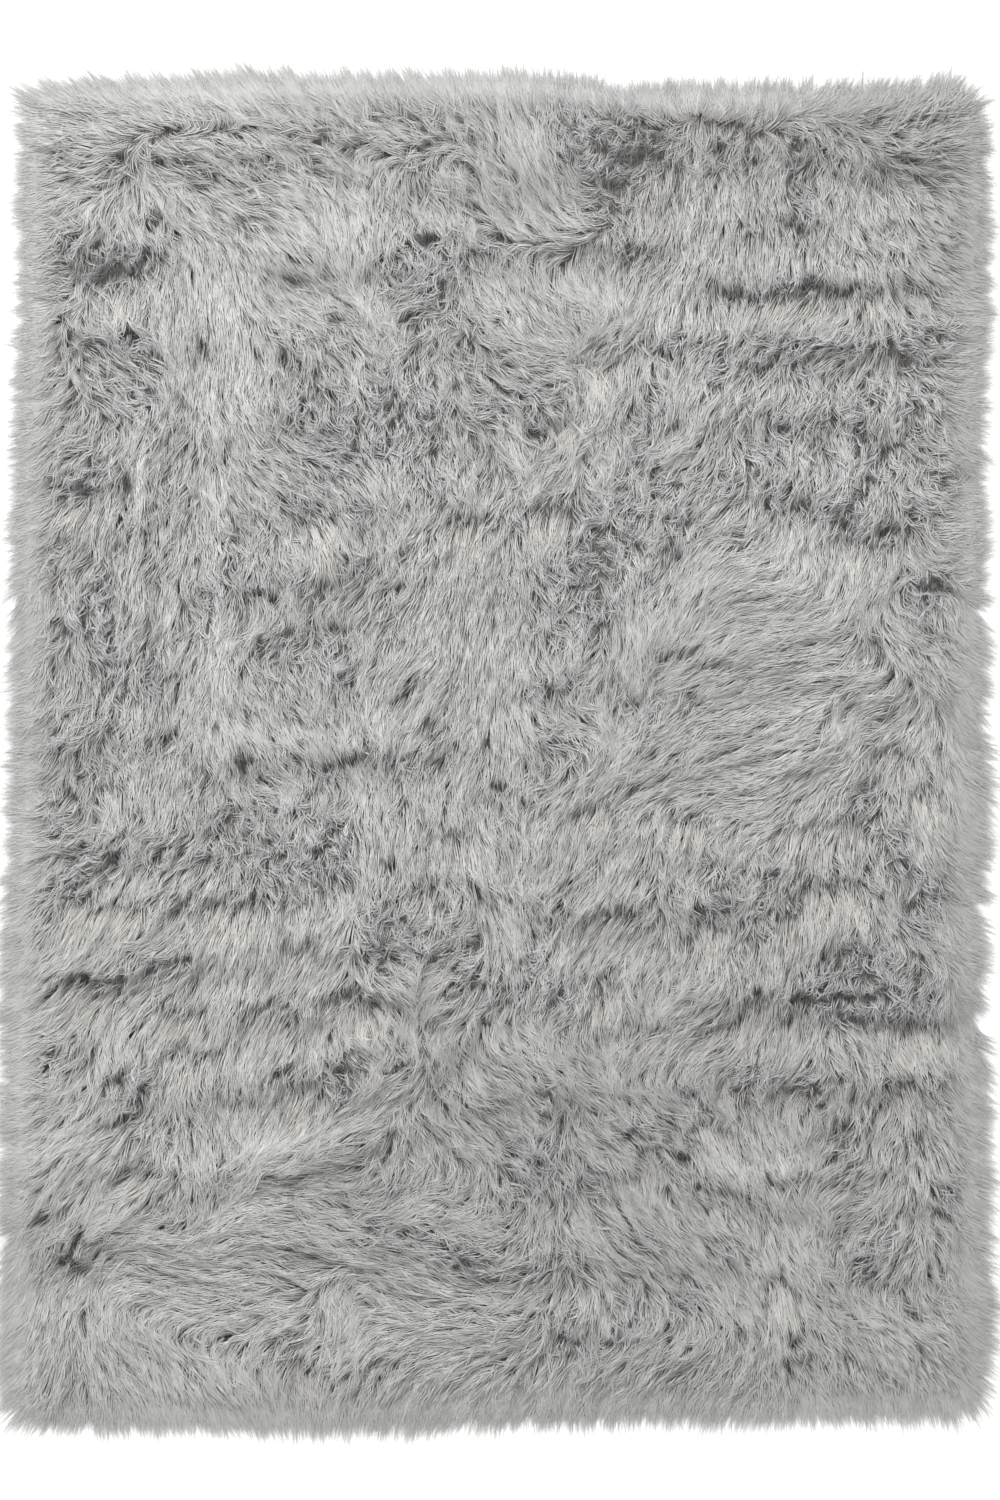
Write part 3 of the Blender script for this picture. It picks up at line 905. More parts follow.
    def lie_of_pile(self, solid):
        """The way the pile lies as a unit vector, how ruffled it is, and how far it parts, in radians."""
        stroke_x = column(STROKES, STROKE_COLUMNS, "x", CENTIMETRE)
        stroke_y = column(STROKES, STROKE_COLUMNS, "y", CENTIMETRE)
        heading = column(STROKES, STROKE_COLUMNS, "heading", math.radians(1.0))
        tousled = column(STROKES, STROKE_COLUMNS, "ruffle", PERCENT)
        apart = np.sort(np.hypot(stroke_x[:, None] - stroke_x, stroke_y[:, None] - stroke_y), axis=1)
        reach = np.clip(apart[:, 1:1 + NEAREST_STROKES].mean(axis=1) * STROKE_SHARE, *STROKE_REACH)
        along_x = np.zeros_like(self.x)
        along_y = np.full_like(self.x, -FAINT)
        ruffle = np.zeros_like(self.x)
        total = np.full_like(self.x, FAINT)
        for number in range(len(STROKES)):
            distance = np.hypot(self.x - stroke_x[number], self.y - stroke_y[number])
            weight = np.exp(-((distance / reach[number]) ** 2))
            along_x += weight * math.cos(heading[number])
            along_y += weight * math.sin(heading[number])
            ruffle += weight * tousled[number]
            total += weight
        along_x = softened(along_x / total, SMOOTHING)
        along_y = softened(along_y / total, SMOOTHING)
        ruffle = LEAST_RUFFLE + READ_RUFFLE * ruffle / total
        ruffle += LUMP_RUFFLE * np.clip((solid - softened(solid, LUMP_SIZE)) / LUMP_HEIGHT, -1.0, 1.0)
        ruffle += CHANCE_RUFFLE * wander(self.x, self.y, CHANCE_RUFFLE_SIZE, seed=7.0)
        ruffle *= RIM_RUFFLE + (1.0 - RIM_RUFFLE) * eased(inside_edge(self.x, self.y) / CORNER_ROUNDING)
        least, most = RUFFLE_BOUNDS
        ruffle = eased((ruffle - least) / (most - least)) * (1.0 - BARE_COMBING * self.exposed)
        agreement = np.clip(np.hypot(along_x, along_y), LEAST_AGREEMENT, 1.0)
        parting = np.sqrt(-2.0 * np.log(agreement))
        lie = np.arctan2(along_y, along_x) + sum(
            wander(self.x, self.y, swirl["apart"], swirl["seed"])
            * np.radians(swirl["turn"] + swirl["added"] * ruffle ** swirl["power"])
            for swirl in (dict(zip(SWIRL_COLUMNS, row)) for row in SWIRLS)
        )
        return np.cos(lie), np.sin(lie), ruffle, parting

    def read(self, values, x, y):
        """The values of one map at the given places."""
        column_place = np.clip((x - self.across[0]) / MAP_STEP, 0.0, len(self.across) - 1.001)
        row_place = np.clip((y - self.lengthways[0]) / MAP_STEP, 0.0, len(self.lengthways) - 1.001)
        left = column_place.astype(int)
        front = row_place.astype(int)
        rightward = column_place - left
        backward = row_place - front
        front_row = values[front, left] * (1.0 - rightward) + values[front, left + 1] * rightward
        back_row = values[front + 1, left] * (1.0 - rightward) + values[front + 1, left + 1] * rightward
        return front_row * (1.0 - backward) + back_row * backward


@lru_cache(maxsize=1)
def pile_map():
    """The one map that every piece of the rug is made from."""
    return PileMap()


def shaken_grid(spacing, chance):
    """Places spread evenly over the rug, each moved a little by chance."""
    low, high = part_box(RUG_NODE)
    across = np.arange(low.x, high.x, spacing)
    lengthways = np.arange(low.y, high.y, spacing)
    x, y = np.meshgrid(across, lengthways)
    x = x.ravel() + chance.uniform(-0.5, 0.5, x.size) * spacing
    y = y.ravel() + chance.uniform(-0.5, 0.5, y.size) * spacing
    return x, y


class Locks:
    """Locks of pile: where each has its root, and the line that it follows over the rug."""

    def __init__(self, x, y, steps, reach, turned_out, chance):
        lie = pile_map()
        self.count = len(x)
        self.steps = steps
        self.chance = chance
        self.turned_out = turned_out
        self.ruffle = lie.read(lie.ruffle, x, y)
        self.exposed = lie.read(lie.exposed, x, y)
        self.parted = np.clip(lie.read(lie.parting, x, y) / FULLY_PARTED, 0.0, 1.0)
        lean = np.radians(by_ruffle(LEAN, self.ruffle)) + PARTED_LEAN * self.parted * (1.0 - turned_out)
        self.lean = self.draw() * lean
        self.turn = self.draw() * np.radians(by_ruffle(TURN, self.ruffle ** TURN_POWER))
        self.reach = reach * (1.0 + REACH_CHANCE * self.draw()) * (1.0 - RUFFLED_SHORTER * self.ruffle)
        self.find_way_out(x, y)
        self.end_at_openings(x, y)
        self.path_x, self.path_y = self.follow(x, y)

    def draw(self):
        """One number for each lock by chance, mostly from -1 to 1."""
        return np.clip(self.chance.normal(0.0, DRAW_SPREAD, self.count), -FURTHEST_DRAW, FURTHEST_DRAW)

    def find_way_out(self, x, y):
        """Finds the way from each lock straight over the nearest edge, and lengthens slanting rim locks."""
        slope_x = inside_edge(x + MAP_STEP, y) - inside_edge(x - MAP_STEP, y)
        slope_y = inside_edge(x, y + MAP_STEP) - inside_edge(x, y - MAP_STEP)
        size = np.hypot(slope_x, slope_y) + TINY
        self.out_x = -slope_x / size
        self.out_y = -slope_y / size
        if self.turned_out > 0.0:
            way_x, way_y = self.turned_way(x, y)
            self.reach /= np.clip(way_x * self.out_x + way_y * self.out_y, LEAST_FACING, 1.0)
            self.reach *= 1.0 + CORNER_STRETCH * np.abs(2.0 * self.out_x * self.out_y)

    def turned_way(self, x, y):
        """The way that the pile lies at each place, turned towards the nearest edge for the rim's locks."""
        lie = pile_map()
        way_x = lie.read(lie.way_x, x, y) * (1.0 - self.turned_out) + self.out_x * self.turned_out
        way_y = lie.read(lie.way_y, x, y) * (1.0 - self.turned_out) + self.out_y * self.turned_out
        size = np.hypot(way_x, way_y) + TINY
        return way_x / size, way_y / size

    def end_at_openings(self, x, y):
        """Cuts short each lock that has its root outside an opening or bare patch and would lie over it."""
        lie = pile_map()
        closed = np.maximum(lie.opening, lie.exposed)
        outside = 1.0 - lie.read(closed, x, y)
        kept = np.ones_like(x)
        for share in ENDING_SHARES:
            at_x = x + lie.read(lie.way_x, x, y) * self.reach * share
            at_y = y + lie.read(lie.way_y, x, y) * self.reach * share
            kept = np.where(lie.read(closed, at_x, at_y) * outside > CLOSED_FROM, share, kept)
        self.reach *= np.maximum(kept, LEAST_KEPT)
        self.ruffle = np.clip(self.ruffle + CUT_RUFFLE * (1.0 - kept), 0.0, 1.0)

    def follow(self, x, y):
        """Walks each lock over the rug in even steps, the way that the pile lies there."""
        lie = pile_map()
        path_x = [x]
        path_y = [y]
        for step in range(self.steps):
            share = (step + 0.5) / self.steps
            way_x, way_y = self.turned_way(path_x[-1], path_y[-1])
            heading = np.arctan2(way_y, way_x) + self.lean + self.turn * share
            uphill_x = lie.read(lie.slope_x, path_x[-1], path_y[-1]) * GATHERING
            uphill_y = lie.read(lie.slope_y, path_x[-1], path_y[-1]) * GATHERING
            path_x.append(path_x[-1] + np.cos(heading) * self.reach / self.steps + uphill_x)
            path_y.append(path_y[-1] + np.sin(heading) * self.reach / self.steps + uphill_y)
        return np.stack(path_x, axis=1), np.stack(path_y, axis=1)


class Strands:
    """Tapered ribbons of hair. Those of one lock make a rounded sheaf that narrows to a ragged tip."""

    def __init__(self, locks, each, width, lock_width, gather=GATHER, ragged=RAGGED):
        lie = pile_map()
        self.locks = locks
        self.each = each
        self.chance = locks.chance
        self.lock_width = lock_width
        self.ragged = ragged
        self.count = locks.count * each
        self.share = np.linspace(0.0, 1.0, locks.steps + 1)
        self.ruffle = np.repeat(locks.ruffle, each)
        self.exposed = np.repeat(locks.exposed, each)
        self.beside = np.tile(np.linspace(-1.0, 1.0, each), locks.count)
        self.beside += self.chance.uniform(-BESIDE_CHANCE, BESIDE_CHANCE, self.count)
        drawn_in = eased(self.share * (1.0 - GATHER_START) + GATHER_START)
        self.gather = (gather + RUFFLED_GATHER * self.ruffle)[:, None] * drawn_in
        self.path = self.routes()
        self.width = width * self.chance.uniform(*STRAND_WIDTHS, self.count)
        streak = np.clip(self.chance.normal(0.0, 1.0, self.count), -LARGEST_STREAK, LARGEST_STREAK)
        streak = streak * by_ruffle(STRAND_TONE, self.ruffle)
        streak += np.repeat(self.chance.normal(0.0, LOCK_TONE, locks.count), each)
        self.tone = 1.0 + streak[:, None] + lie.read(lie.shade, self.path[:, :, 0], self.path[:, :, 1])

    def spread(self, values):
        """A lock's values, once for each of its strands."""
        return np.repeat(values, self.each, axis=0)

    def routes(self):
        """Points along every strand."""
        locks = self.locks
        share = self.share[None, :]
        way_x = np.gradient(locks.path_x, axis=1)
        way_y = np.gradient(locks.path_y, axis=1)
        length = np.hypot(way_x, way_y) + TINY
        aside = self.beside[:, None] * (1.0 - self.gather) * self.lock_width / 2.0
        behind = self.chance.uniform(-0.5, 0.5, self.count)[:, None] * self.lock_width
        longer = self.chance.uniform(-self.ragged, LONGEST_EXTRA, self.count)[:, None]
        bend = self.chance.normal(0.0, 1.0, self.count) * by_ruffle(BEND, self.ruffle)
        bend = np.radians(bend)[:, None] * share
        from_x = self.spread(locks.path_x - locks.path_x[:, :1])
        from_y = self.spread(locks.path_y - locks.path_y[:, :1])
        own_x = (from_x * np.cos(bend) - from_y * np.sin(bend)) * (1.0 + longer)
        own_y = (from_x * np.sin(bend) + from_y * np.cos(bend)) * (1.0 + longer)
        lock_way_x = self.spread(way_x / length)
        lock_way_y = self.spread(way_y / length)
        x = self.spread(locks.path_x[:, :1]) + own_x + lock_way_y * aside + lock_way_x[:, :1] * behind
        y = self.spread(locks.path_y[:, :1]) + own_y - lock_way_x * aside + lock_way_y[:, :1] * behind
        return np.stack((x, y, self.heights(x, y)), axis=2)

    def heights(self, x, y):
        """Heights along the strands: up from the root, along the pile's top, and slightly up at the tip."""
        lie = pile_map()
        locks = self.locks
        top = lie.read(lie.top, x, y)
        near_floor = np.clip(top / LOW_PILE, 0.0, 1.0)
        share = self.share[None, :]
        rise = np.interp(share, RISE_SHARES, RISE_HEIGHTS)
        rise = rise * (1.0 - PARTED_FLATTER * self.spread(locks.parted)[:, None])
        lock_depth = locks.chance.uniform(0.0, 1.0, locks.count) * by_ruffle(LOCK_DEPTH, locks.ruffle)
        lock_depth = self.spread(lock_depth)[:, None]
        strand_depth = self.chance.uniform(0.0, STRAND_DEPTH, self.count)[:, None]
        rounding = LOCK_ROUNDING * (self.beside ** 2)[:, None] * (1.0 - TIP_FLATTER * share)
        lift = (self.chance.normal(0.0, 1.0, self.count) * by_ruffle(LIFT, self.ruffle))[:, None]
        lock_lift = self.spread(locks.draw() * by_ruffle(LOCK_LIFT, locks.ruffle))[:, None]
        height = rise - lock_depth - strand_depth - rounding + (lift + lock_lift) * share ** LIFT_POWER
        return np.maximum(top + height * near_floor, LOWEST_HAIR + strand_depth)

    def surface(self):
        """The way straight out of the pile's top at every point of the strands."""
        lie = pile_map()
        x = self.path[:, :, 0]
        y = self.path[:, :, 1]
        out = np.stack((-lie.read(lie.rise_x, x, y), -lie.read(lie.rise_y, x, y), np.ones_like(x)), axis=2)
        return out / np.linalg.norm(out, axis=2, keepdims=True)

    def roll(self):
        """How far each strand is rolled about its length: outwards beside its lock, and some by chance."""
        half = (1.0 - self.gather) * self.lock_width / 2.0
        slope = 2.0 * LOCK_ROUNDING * self.beside[:, None] * (1.0 - TIP_FLATTER * self.share[None, :]) / half
        by_chance = np.radians(self.chance.normal(0.0, 1.0, self.count) * by_ruffle(ROLL, self.ruffle))
        return by_chance[:, None] - np.arctan(slope)


def ribbons(name, strands):
    """One mesh of tapered ribbons, one for each strand."""
    way = np.gradient(strands.path, axis=1)
    way /= np.linalg.norm(way, axis=2, keepdims=True) + TINY
    side = np.cross(way, strands.surface())
    side /= np.linalg.norm(side, axis=2, keepdims=True) + TINY
    over = np.cross(side, way)
    taper = np.interp(strands.share, TAPER_SHARES, TAPER_WIDTHS)
    half_width = strands.width[:, None, None] / 2.0 * taper[None, :, None]
    roll = strands.roll()[:, :, None]
    reach = (np.cos(roll) * side + np.sin(roll) * over) * half_width
    edges = (-1.0, 1.0)
    columns = [(strands.path + reach * edge)[:, :-1] for edge in edges]
    points = np.concatenate((*columns, strands.path[:, -1:]), axis=1)
    return weave_mesh(name, points, edges, strands)


def weave_mesh(name, points, edges, strands):
    """Joins the points of each ribbon into its faces, and notes each strand's values on them."""
    count, each, _ = points.shape
    rings = (each - 1) // len(edges)
    faces = []
    starts = []
    for strip in range(len(edges) - 1):
        for ring in range(rings - 1):
            near = strip * rings + ring
            starts.append(len(faces))
            faces += [near, near + rings, near + rings + 1, near + 1]
        last = strip * rings + rings - 1
        starts.append(len(faces))
        faces += [last, last + rings, each - 1]
    corner_points = (np.array(faces)[None, :] + np.arange(count)[:, None] * each).ravel()
    face_starts = (np.array(starts)[None, :] + np.arange(count)[:, None] * len(faces)).ravel()
    mesh = bpy.data.meshes.new(name)
    mesh.vertices.add(count * each)
    mesh.vertices.foreach_set("co", points.ravel().astype(np.float32))
    mesh.loops.add(len(corner_points))
    mesh.loops.foreach_set("vertex_index", corner_points.astype(np.int32))
    mesh.polygons.add(len(face_starts))
    mesh.polygons.foreach_set("loop_start", face_starts.astype(np.int32))
    mesh.update(calc_edges=True)
    mesh.shade_smooth()
    along = np.append(np.tile(strands.share[:-1], len(edges)), 1.0)
    across = np.append(np.repeat(edges, rings), 0.0)
    note(mesh, "along", np.tile(along, count))
    note(mesh, "across", np.tile(across, count))
    note(mesh, "aside", (across[None, :] * strands.width[:, None] / 2.0).ravel())
    note(mesh, "number", np.repeat(np.arange(count), each))
    edge_tone = np.tile(strands.tone[:, :-1], len(edges))
    note(mesh, "tone", np.concatenate((edge_tone, strands.tone[:, -1:]), axis=1).ravel())
    note(mesh, "ruffle", np.repeat(strands.ruffle, each))
    note(mesh, "exposed", np.repeat(strands.exposed, each))
    lay_strips(mesh, along, across, count, corner_points)
    return mesh


def note(mesh, name, values):
    """Keeps one number for each point of a mesh, for its material to read."""
    mesh.attributes.new(name, "FLOAT", "POINT").data.foreach_set("value", values.astype(np.float32))


def lay_strips(mesh, along, across, count, corner_points):
    """Gives each ribbon its own small strip of the texture."""
    rows = math.ceil(math.sqrt(count))
    number = np.arange(count)
    u = ((number % rows)[:, None] + 0.5 + 0.35 * across[None, :]) / rows
    v = ((number // rows)[:, None] + 0.06 + 0.88 * along[None, :]) / rows
    places = np.stack((u.ravel(), v.ravel()), axis=1)[corner_points]
    layer = mesh.uv_layers.new(name="OFBake")
    layer.data.foreach_set("uv", places.ravel().astype(np.float32))


def add_pile_piece(name, strands):
    """Puts one piece of pile in the scene in place of the plain solid."""
    mesh = ribbons(name, strands)
    mesh.materials.append(pile_finish())
    piece = bpy.data.objects.new(name, mesh)
    bpy.context.scene.collection.objects.link(piece)
    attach(piece, "root")
    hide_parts(RUG_NODE)


class Level:
    """A number that a material's nodes work out. Sums on it add Math nodes."""

    def __init__(self, finish, socket):
        self.finish = finish
        self.socket = socket

    def sum_with(self, operation, first, second):
        """The result of one Math node."""
        return self.finish.node("ShaderNodeMath", {"operation": operation}, {0: first, 1: second})

    def __add__(self, other):
        return self.sum_with("ADD", self, other)

    __radd__ = __add__

    def __sub__(self, other):
        return self.sum_with("SUBTRACT", self, other)

    def __rsub__(self, other):
        return self.sum_with("SUBTRACT", other, self)

    def __mul__(self, other):
        return self.sum_with("MULTIPLY", self, other)

    __rmul__ = __mul__


class Finish:
    """One material and the nodes that it is made of."""

    def __init__(self, name, roughness):
        self.material = bpy.data.materials.new(name)
        self.material.use_nodes = True
        self.tree = self.material.node_tree
        self.shader = self.tree.nodes["Principled BSDF"]
        self.shader.inputs["Roughness"].default_value = roughness

    def node(self, kind, settings, values, output=0):
        """Adds a node with its settings, then the values or links of its sockets, and gives one output."""
        made = self.tree.nodes.new(kind)
        for name, setting in settings.items():
            setattr(made, name, setting)
        for name, value in values.items():
            self.put(made.inputs[name], value)
        return Level(self, made.outputs[output])

    def put(self, socket, value):
        """Links a socket, or sets its value."""
        if isinstance(value, Level):
            self.tree.links.new(value.socket, socket)
        else:
            socket.default_value = value

    def noted(self, name):
        """A number kept on the points of the mesh."""
        return self.node("ShaderNodeAttribute", {"attribute_name": name}, {}, output="Fac")

    def joined(self, x, y, z):
        """Three numbers as one place."""
        return self.node("ShaderNodeCombineXYZ", {}, {"X": x, "Y": y, "Z": z})

    def place(self):
        """Where a point is on the rug, in metres."""
        return self.node("ShaderNodeTexCoord", {}, {}, output="Object")

    def stretched(self, place, across, lengthways, upward):
        """A place with each of its axes scaled, for a pattern that is longer one way."""
        scale = (across, lengthways, upward)
        return self.node("ShaderNodeMapping", {"vector_type": "POINT"}, {"Vector": place, "Scale": scale})

    def flecks(self, place, scale, detail):
        """Soft random flecks from 0 to 1."""
        values = {"Vector": place, "Scale": scale, "Detail": detail}
        return self.node("ShaderNodeTexNoise", {}, values, output="Fac")

    def yarns(self, place, direction):
        """Even bands of yarn that follow one another along X or Y."""
        values = {"Vector": place, "Scale": YARN_SCALE}
        return self.node("ShaderNodeTexWave", {"bands_direction": direction}, values, output="Fac")

    def step(self, level, low, high):
        """An eased step from 0 at low to 1 at high."""
        settings = {"interpolation_type": "SMOOTHSTEP"}
        return self.node("ShaderNodeMapRange", settings, {"Value": level, "From Min": low, "From Max": high})

    def mixed(self, share, first, second):
        """A colour between two others."""
        values = {0: share, 6: opaque(first), 7: opaque(second)}
        return self.node("ShaderNodeMix", {"data_type": "RGBA"}, values, output=2)

    def dimmed(self, colour, share):
        """A colour made darker or brighter by a number."""
        values = {0: colour, "Scale": share}
        return self.node("ShaderNodeVectorMath", {"operation": "SCALE"}, values)

    def raised(self, height, depth):
        """The surface's slope under a fine relief."""
        return self.node("ShaderNodeBump", {}, {"Height": height, "Distance": depth, "Strength": 1.0})

    def colour(self, level):
        """Sets the finish's colour."""
        self.put(self.shader.inputs["Base Color"], level)

    def roughness(self, level):
        """Sets the finish's roughness."""
        self.put(self.shader.inputs["Roughness"], level)

    def relief(self, level):
        """Sets the finish's fine relief."""
        self.put(self.shader.inputs["Normal"], level)


def opaque(colour):
    """A colour with full cover, or a link left as it is."""
    return colour if isinstance(colour, Level) else (*colour, 1.0)


@lru_cache(maxsize=1)
def pile_finish():
    """Pale grey hair: beige near its root, grey towards its tip, and streaked along its length."""
    colours = bpy.context.scene.shag_rug_colours
    finish = Finish("pale_grey_hair", roughness=0.55)
    along = finish.noted("along")
    exposed = finish.noted("exposed")
    ruffle = finish.noted("ruffle")
    across = finish.noted("across")
    grain = finish.joined(
        finish.noted("aside") * HAIR_FINENESS, along * HAIR_CHANGES, finish.noted("number") * STRAND_APART
    )
    streaks = finish.flecks(grain, scale=1.0, detail=2.0)
    root_ends = 0.10 + exposed * 0.30
    tip_starts = 0.45 + exposed * 0.70
    towards_tip = finish.step(along, root_ends, tip_starts)
    tip = finish.mixed(ruffle, colours.tip, colours.ruffled_tip)
    root = finish.mixed(exposed, colours.root, colours.bare_root)
    hair = finish.mixed(towards_tip, root, tip)
    rounding = 1.0 - across * across * 0.08
    streaking = 0.92 + streaks * 0.16
    paler_tip = 0.89 + along * 0.13
    finish.colour(finish.dimmed(hair, finish.noted("tone") * rounding * streaking * paler_tip))
    finish.roughness(0.42 + streaks * 0.25 + ruffle * 0.08)
    finish.relief(finish.raised(streaks, depth=0.0008))
    finish.shader.inputs["Specular IOR Level"].default_value = 0.35
    finish.shader.inputs["Sheen Weight"].default_value = 0.12
    finish.shader.inputs["Sheen Roughness"].default_value = 0.5
    return finish.material


def backing_finish():
    """A plain weave of thick beige yarn."""
    colours = bpy.context.scene.shag_rug_colours
    finish = Finish("woven_backing", roughness=0.9)
    place = finish.place()
    weave = finish.yarns(place, "X") * finish.yarns(place, "Y")
    fluff = finish.flecks(place, scale=240.0, detail=3.0)
    yarn = finish.mixed(weave, colours.root, colours.backing)
    finish.colour(finish.dimmed(yarn, 0.72 + fluff * 0.34 + weave * 0.2))
    finish.relief(finish.raised(weave + fluff * 0.4, depth=0.0006))
    return finish.material


def underfur_finish():
    """Short dense fur, darker and browner than the hairs' tips, and streaked along the rug."""
    colours = bpy.context.scene.shag_rug_colours
    finish = Finish("dense_underfur", roughness=0.85)
    place = finish.place()
    combed = finish.stretched(place, across=520.0, lengthways=60.0, upward=60.0)
    patches = finish.flecks(place, scale=26.0, detail=2.0)
    hairs = finish.step(finish.flecks(combed, scale=1.0, detail=3.0), 0.38, 0.62)
    fur = finish.mixed(hairs, colours.underfur, colours.root)
    shade = 0.34 + hairs * 0.36 + patches * 0.20
    finish.colour(finish.dimmed(fur, finish.noted("tone") * shade))
    finish.relief(finish.raised(hairs, depth=0.003))
    return finish.material


def floor_finish():
    """Smooth matt board, nearly white."""
    colours = bpy.context.scene.shag_rug_colours
    finish = Finish("pale_floor", roughness=0.85)
    clouds = finish.flecks(finish.place(), scale=1.5, detail=2.0)
    finish.colour(finish.dimmed(colours.floor, 0.985 + clouds * 0.03))
    return finish.material


def cloth_grid(name, steps_across, steps_along):
    """A flat grid laid out to the rug's cut edge, with its own place on the texture."""
    shape = bmesh.new()
    bmesh.ops.create_grid(shape, x_segments=steps_across, y_segments=steps_along, size=1.0)
    mesh = bpy.data.meshes.new(name)
    shape.to_mesh(mesh)
    shape.free()
    flat = np.zeros(len(mesh.vertices) * 3)
    mesh.vertices.foreach_get("co", flat)
    square = flat.reshape(-1, 3)
    u, v = rounded_square(square[:, 0], square[:, 1])
    x, y = footprint(u, v)
    layer = mesh.uv_layers.new(name="OFBake")
    corner_points = np.zeros(len(mesh.loops), dtype=np.int32)
    mesh.loops.foreach_get("vertex_index", corner_points)
    places = np.stack((square[:, 0], square[:, 1]), axis=1)[corner_points] * TEXTURE_HALF + 0.5
    layer.data.foreach_set("uv", places.ravel().astype(np.float32))
    return mesh, x, y


def rounded_square(u, v):
    """Points of the square from -1 to 1, drawn in towards rounded corners."""
    share = CORNER_ROUNDING / HALF_RUG
    past_u = np.maximum(0.0, np.abs(u) - (1.0 - share)) / share
    past_v = np.maximum(0.0, np.abs(v) - (1.0 - share)) / share
    beyond = np.hypot(past_u, past_v)
    squeeze = np.where(beyond > 1.0, np.maximum(past_u, past_v) / np.maximum(beyond, TINY), 1.0)
    new_u = np.where(past_u > 0.0, np.copysign(1.0 - share + share * past_u * squeeze, u), u)
    new_v = np.where(past_v > 0.0, np.copysign(1.0 - share + share * past_v * squeeze, v), v)
    return new_u, new_v


def footprint(u, v):
    """Where points of the square from -1 to 1 lie on the backing."""
    half_length = float(outline_reach(ENDS, END_COLUMNS, "back", 0.0)) - RIM_REACH
    half_width = float(outline_reach(SIDES, SIDE_COLUMNS, "left", 0.0)) - RIM_REACH
    left = outline_reach(SIDES, SIDE_COLUMNS, "left", v * half_length) - RIM_REACH
    right = outline_reach(SIDES, SIDE_COLUMNS, "right", v * half_length) - RIM_REACH
    front = outline_reach(ENDS, END_COLUMNS, "front", u * half_width) - RIM_REACH
    back = outline_reach(ENDS, END_COLUMNS, "back", u * half_width) - RIM_REACH
    return u * np.where(u > 0.0, right, left), v * np.where(v > 0.0, back, front)


def add_cloth(name, mesh, points, material):
    """Puts a grid of cloth in the scene, on the rug."""
    mesh.vertices.foreach_set("co", points.ravel().astype(np.float32))
    mesh.update()
    mesh.shade_smooth()
    mesh.materials.append(material)
    piece = bpy.data.objects.new(name, mesh)
    bpy.context.scene.collection.objects.link(piece)
    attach(piece, "root")
    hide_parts(RUG_NODE)
    return piece


class SHAGRUG_OT_backing(bpy.types.Operator):
    """Lay the woven backing that the pile grows from"""

    bl_idname = "shag_rug.backing"
    bl_label = "Backing"

    def execute(self, context):
        mesh, x, y = cloth_grid("woven_backing", *BACKING_STEPS)
        z = np.full_like(x, BACKING_THICKNESS + BACKING_CLEARANCE)
        piece = add_cloth("woven_backing", mesh, np.stack((x, y, z), axis=1), backing_finish())
        body = piece.modifiers.new("Thickness", "SOLIDIFY")
        body.thickness = BACKING_THICKNESS
        body.offset = -1.0
        return {"FINISHED"}


class SHAGRUG_OT_underfur(bpy.types.Operator):
    """Raise the short dense fur that closes the gaps between the locks"""

    bl_idname = "shag_rug.underfur"
    bl_label = "Underfur"

    def execute(self, context):
        lie = pile_map()
        mesh, x, y = cloth_grid("dense_underfur", *UNDERFUR_STEPS)
        tuck = eased(inside_edge(x, y) / UNDERFUR_TUCK)
        height = lie.read(softened(lie.top, UNDERFUR_SMOOTHING), x, y) * UNDERFUR_SHARE
        z = BACKING_THICKNESS + UNDERFUR_CLEARANCE + height * tuck
        note(mesh, "tone", 1.0 - UNDERFUR_DIMMING * lie.read(lie.hollow, x, y))
        add_cloth("dense_underfur", mesh, np.stack((x, y, z), axis=1), underfur_finish())
        return {"FINISHED"}


def roots_from_front(x, y, kept):
    """The kept roots, in order from the front of the rug to its back."""
    order = np.argsort(y[kept])
    return x[kept][order], y[kept][order]


def add_hair(names, ruffled, steps, each, seed):
    """Grows the hair of the combed or of the ruffled pile, in one piece for each name."""
    sizes = bpy.context.scene.shag_rug_pile
    lie = pile_map()
    x, y = shaken_grid(sizes.lock_spacing, np.random.default_rng(ROOT_SEED))
    kept = (inside_edge(x, y) > 0.0) & ((lie.read(lie.ruffle, x, y) > sizes.ruffled_from) == ruffled)
    x, y = roots_from_front(x, y, kept)
    for number, part in enumerate(np.array_split(np.arange(len(x)), len(names))):
        chance = np.random.default_rng(seed + number)
        locks = Locks(x[part], y[part], steps, sizes.hair_reach, turned_out=0.0, chance=chance)
        width = sizes.lock_spacing * LOCK_OVERLAP
        add_pile_piece(names[number], Strands(locks, each, sizes.strand_width, width))


class SHAGRUG_OT_combed_hair(bpy.types.Operator):
    """Grow the fine hair of the combed pile"""

    bl_idname = "shag_rug.combed_hair"
    bl_label = "Combed hair"

    def execute(self, context):
        each = context.scene.shag_rug_pile.strands_in_lock
        add_hair(COMBED_PIECES, False, COMBED_STEPS, each, COMBED_SEED)
        return {"FINISHED"}


class SHAGRUG_OT_ruffled_hair(bpy.types.Operator):
    """Grow the fine hair of the ruffled pile, curled and with dark gaps in it"""

    bl_idname = "shag_rug.ruffled_hair"
    bl_label = "Ruffled hair"

    def execute(self, context):
        each = context.scene.shag_rug_pile.strands_in_ruffled_lock
        add_hair(RUFFLED_PIECES, True, RUFFLED_STEPS, each, RUFFLED_SEED)
        return {"FINISHED"}


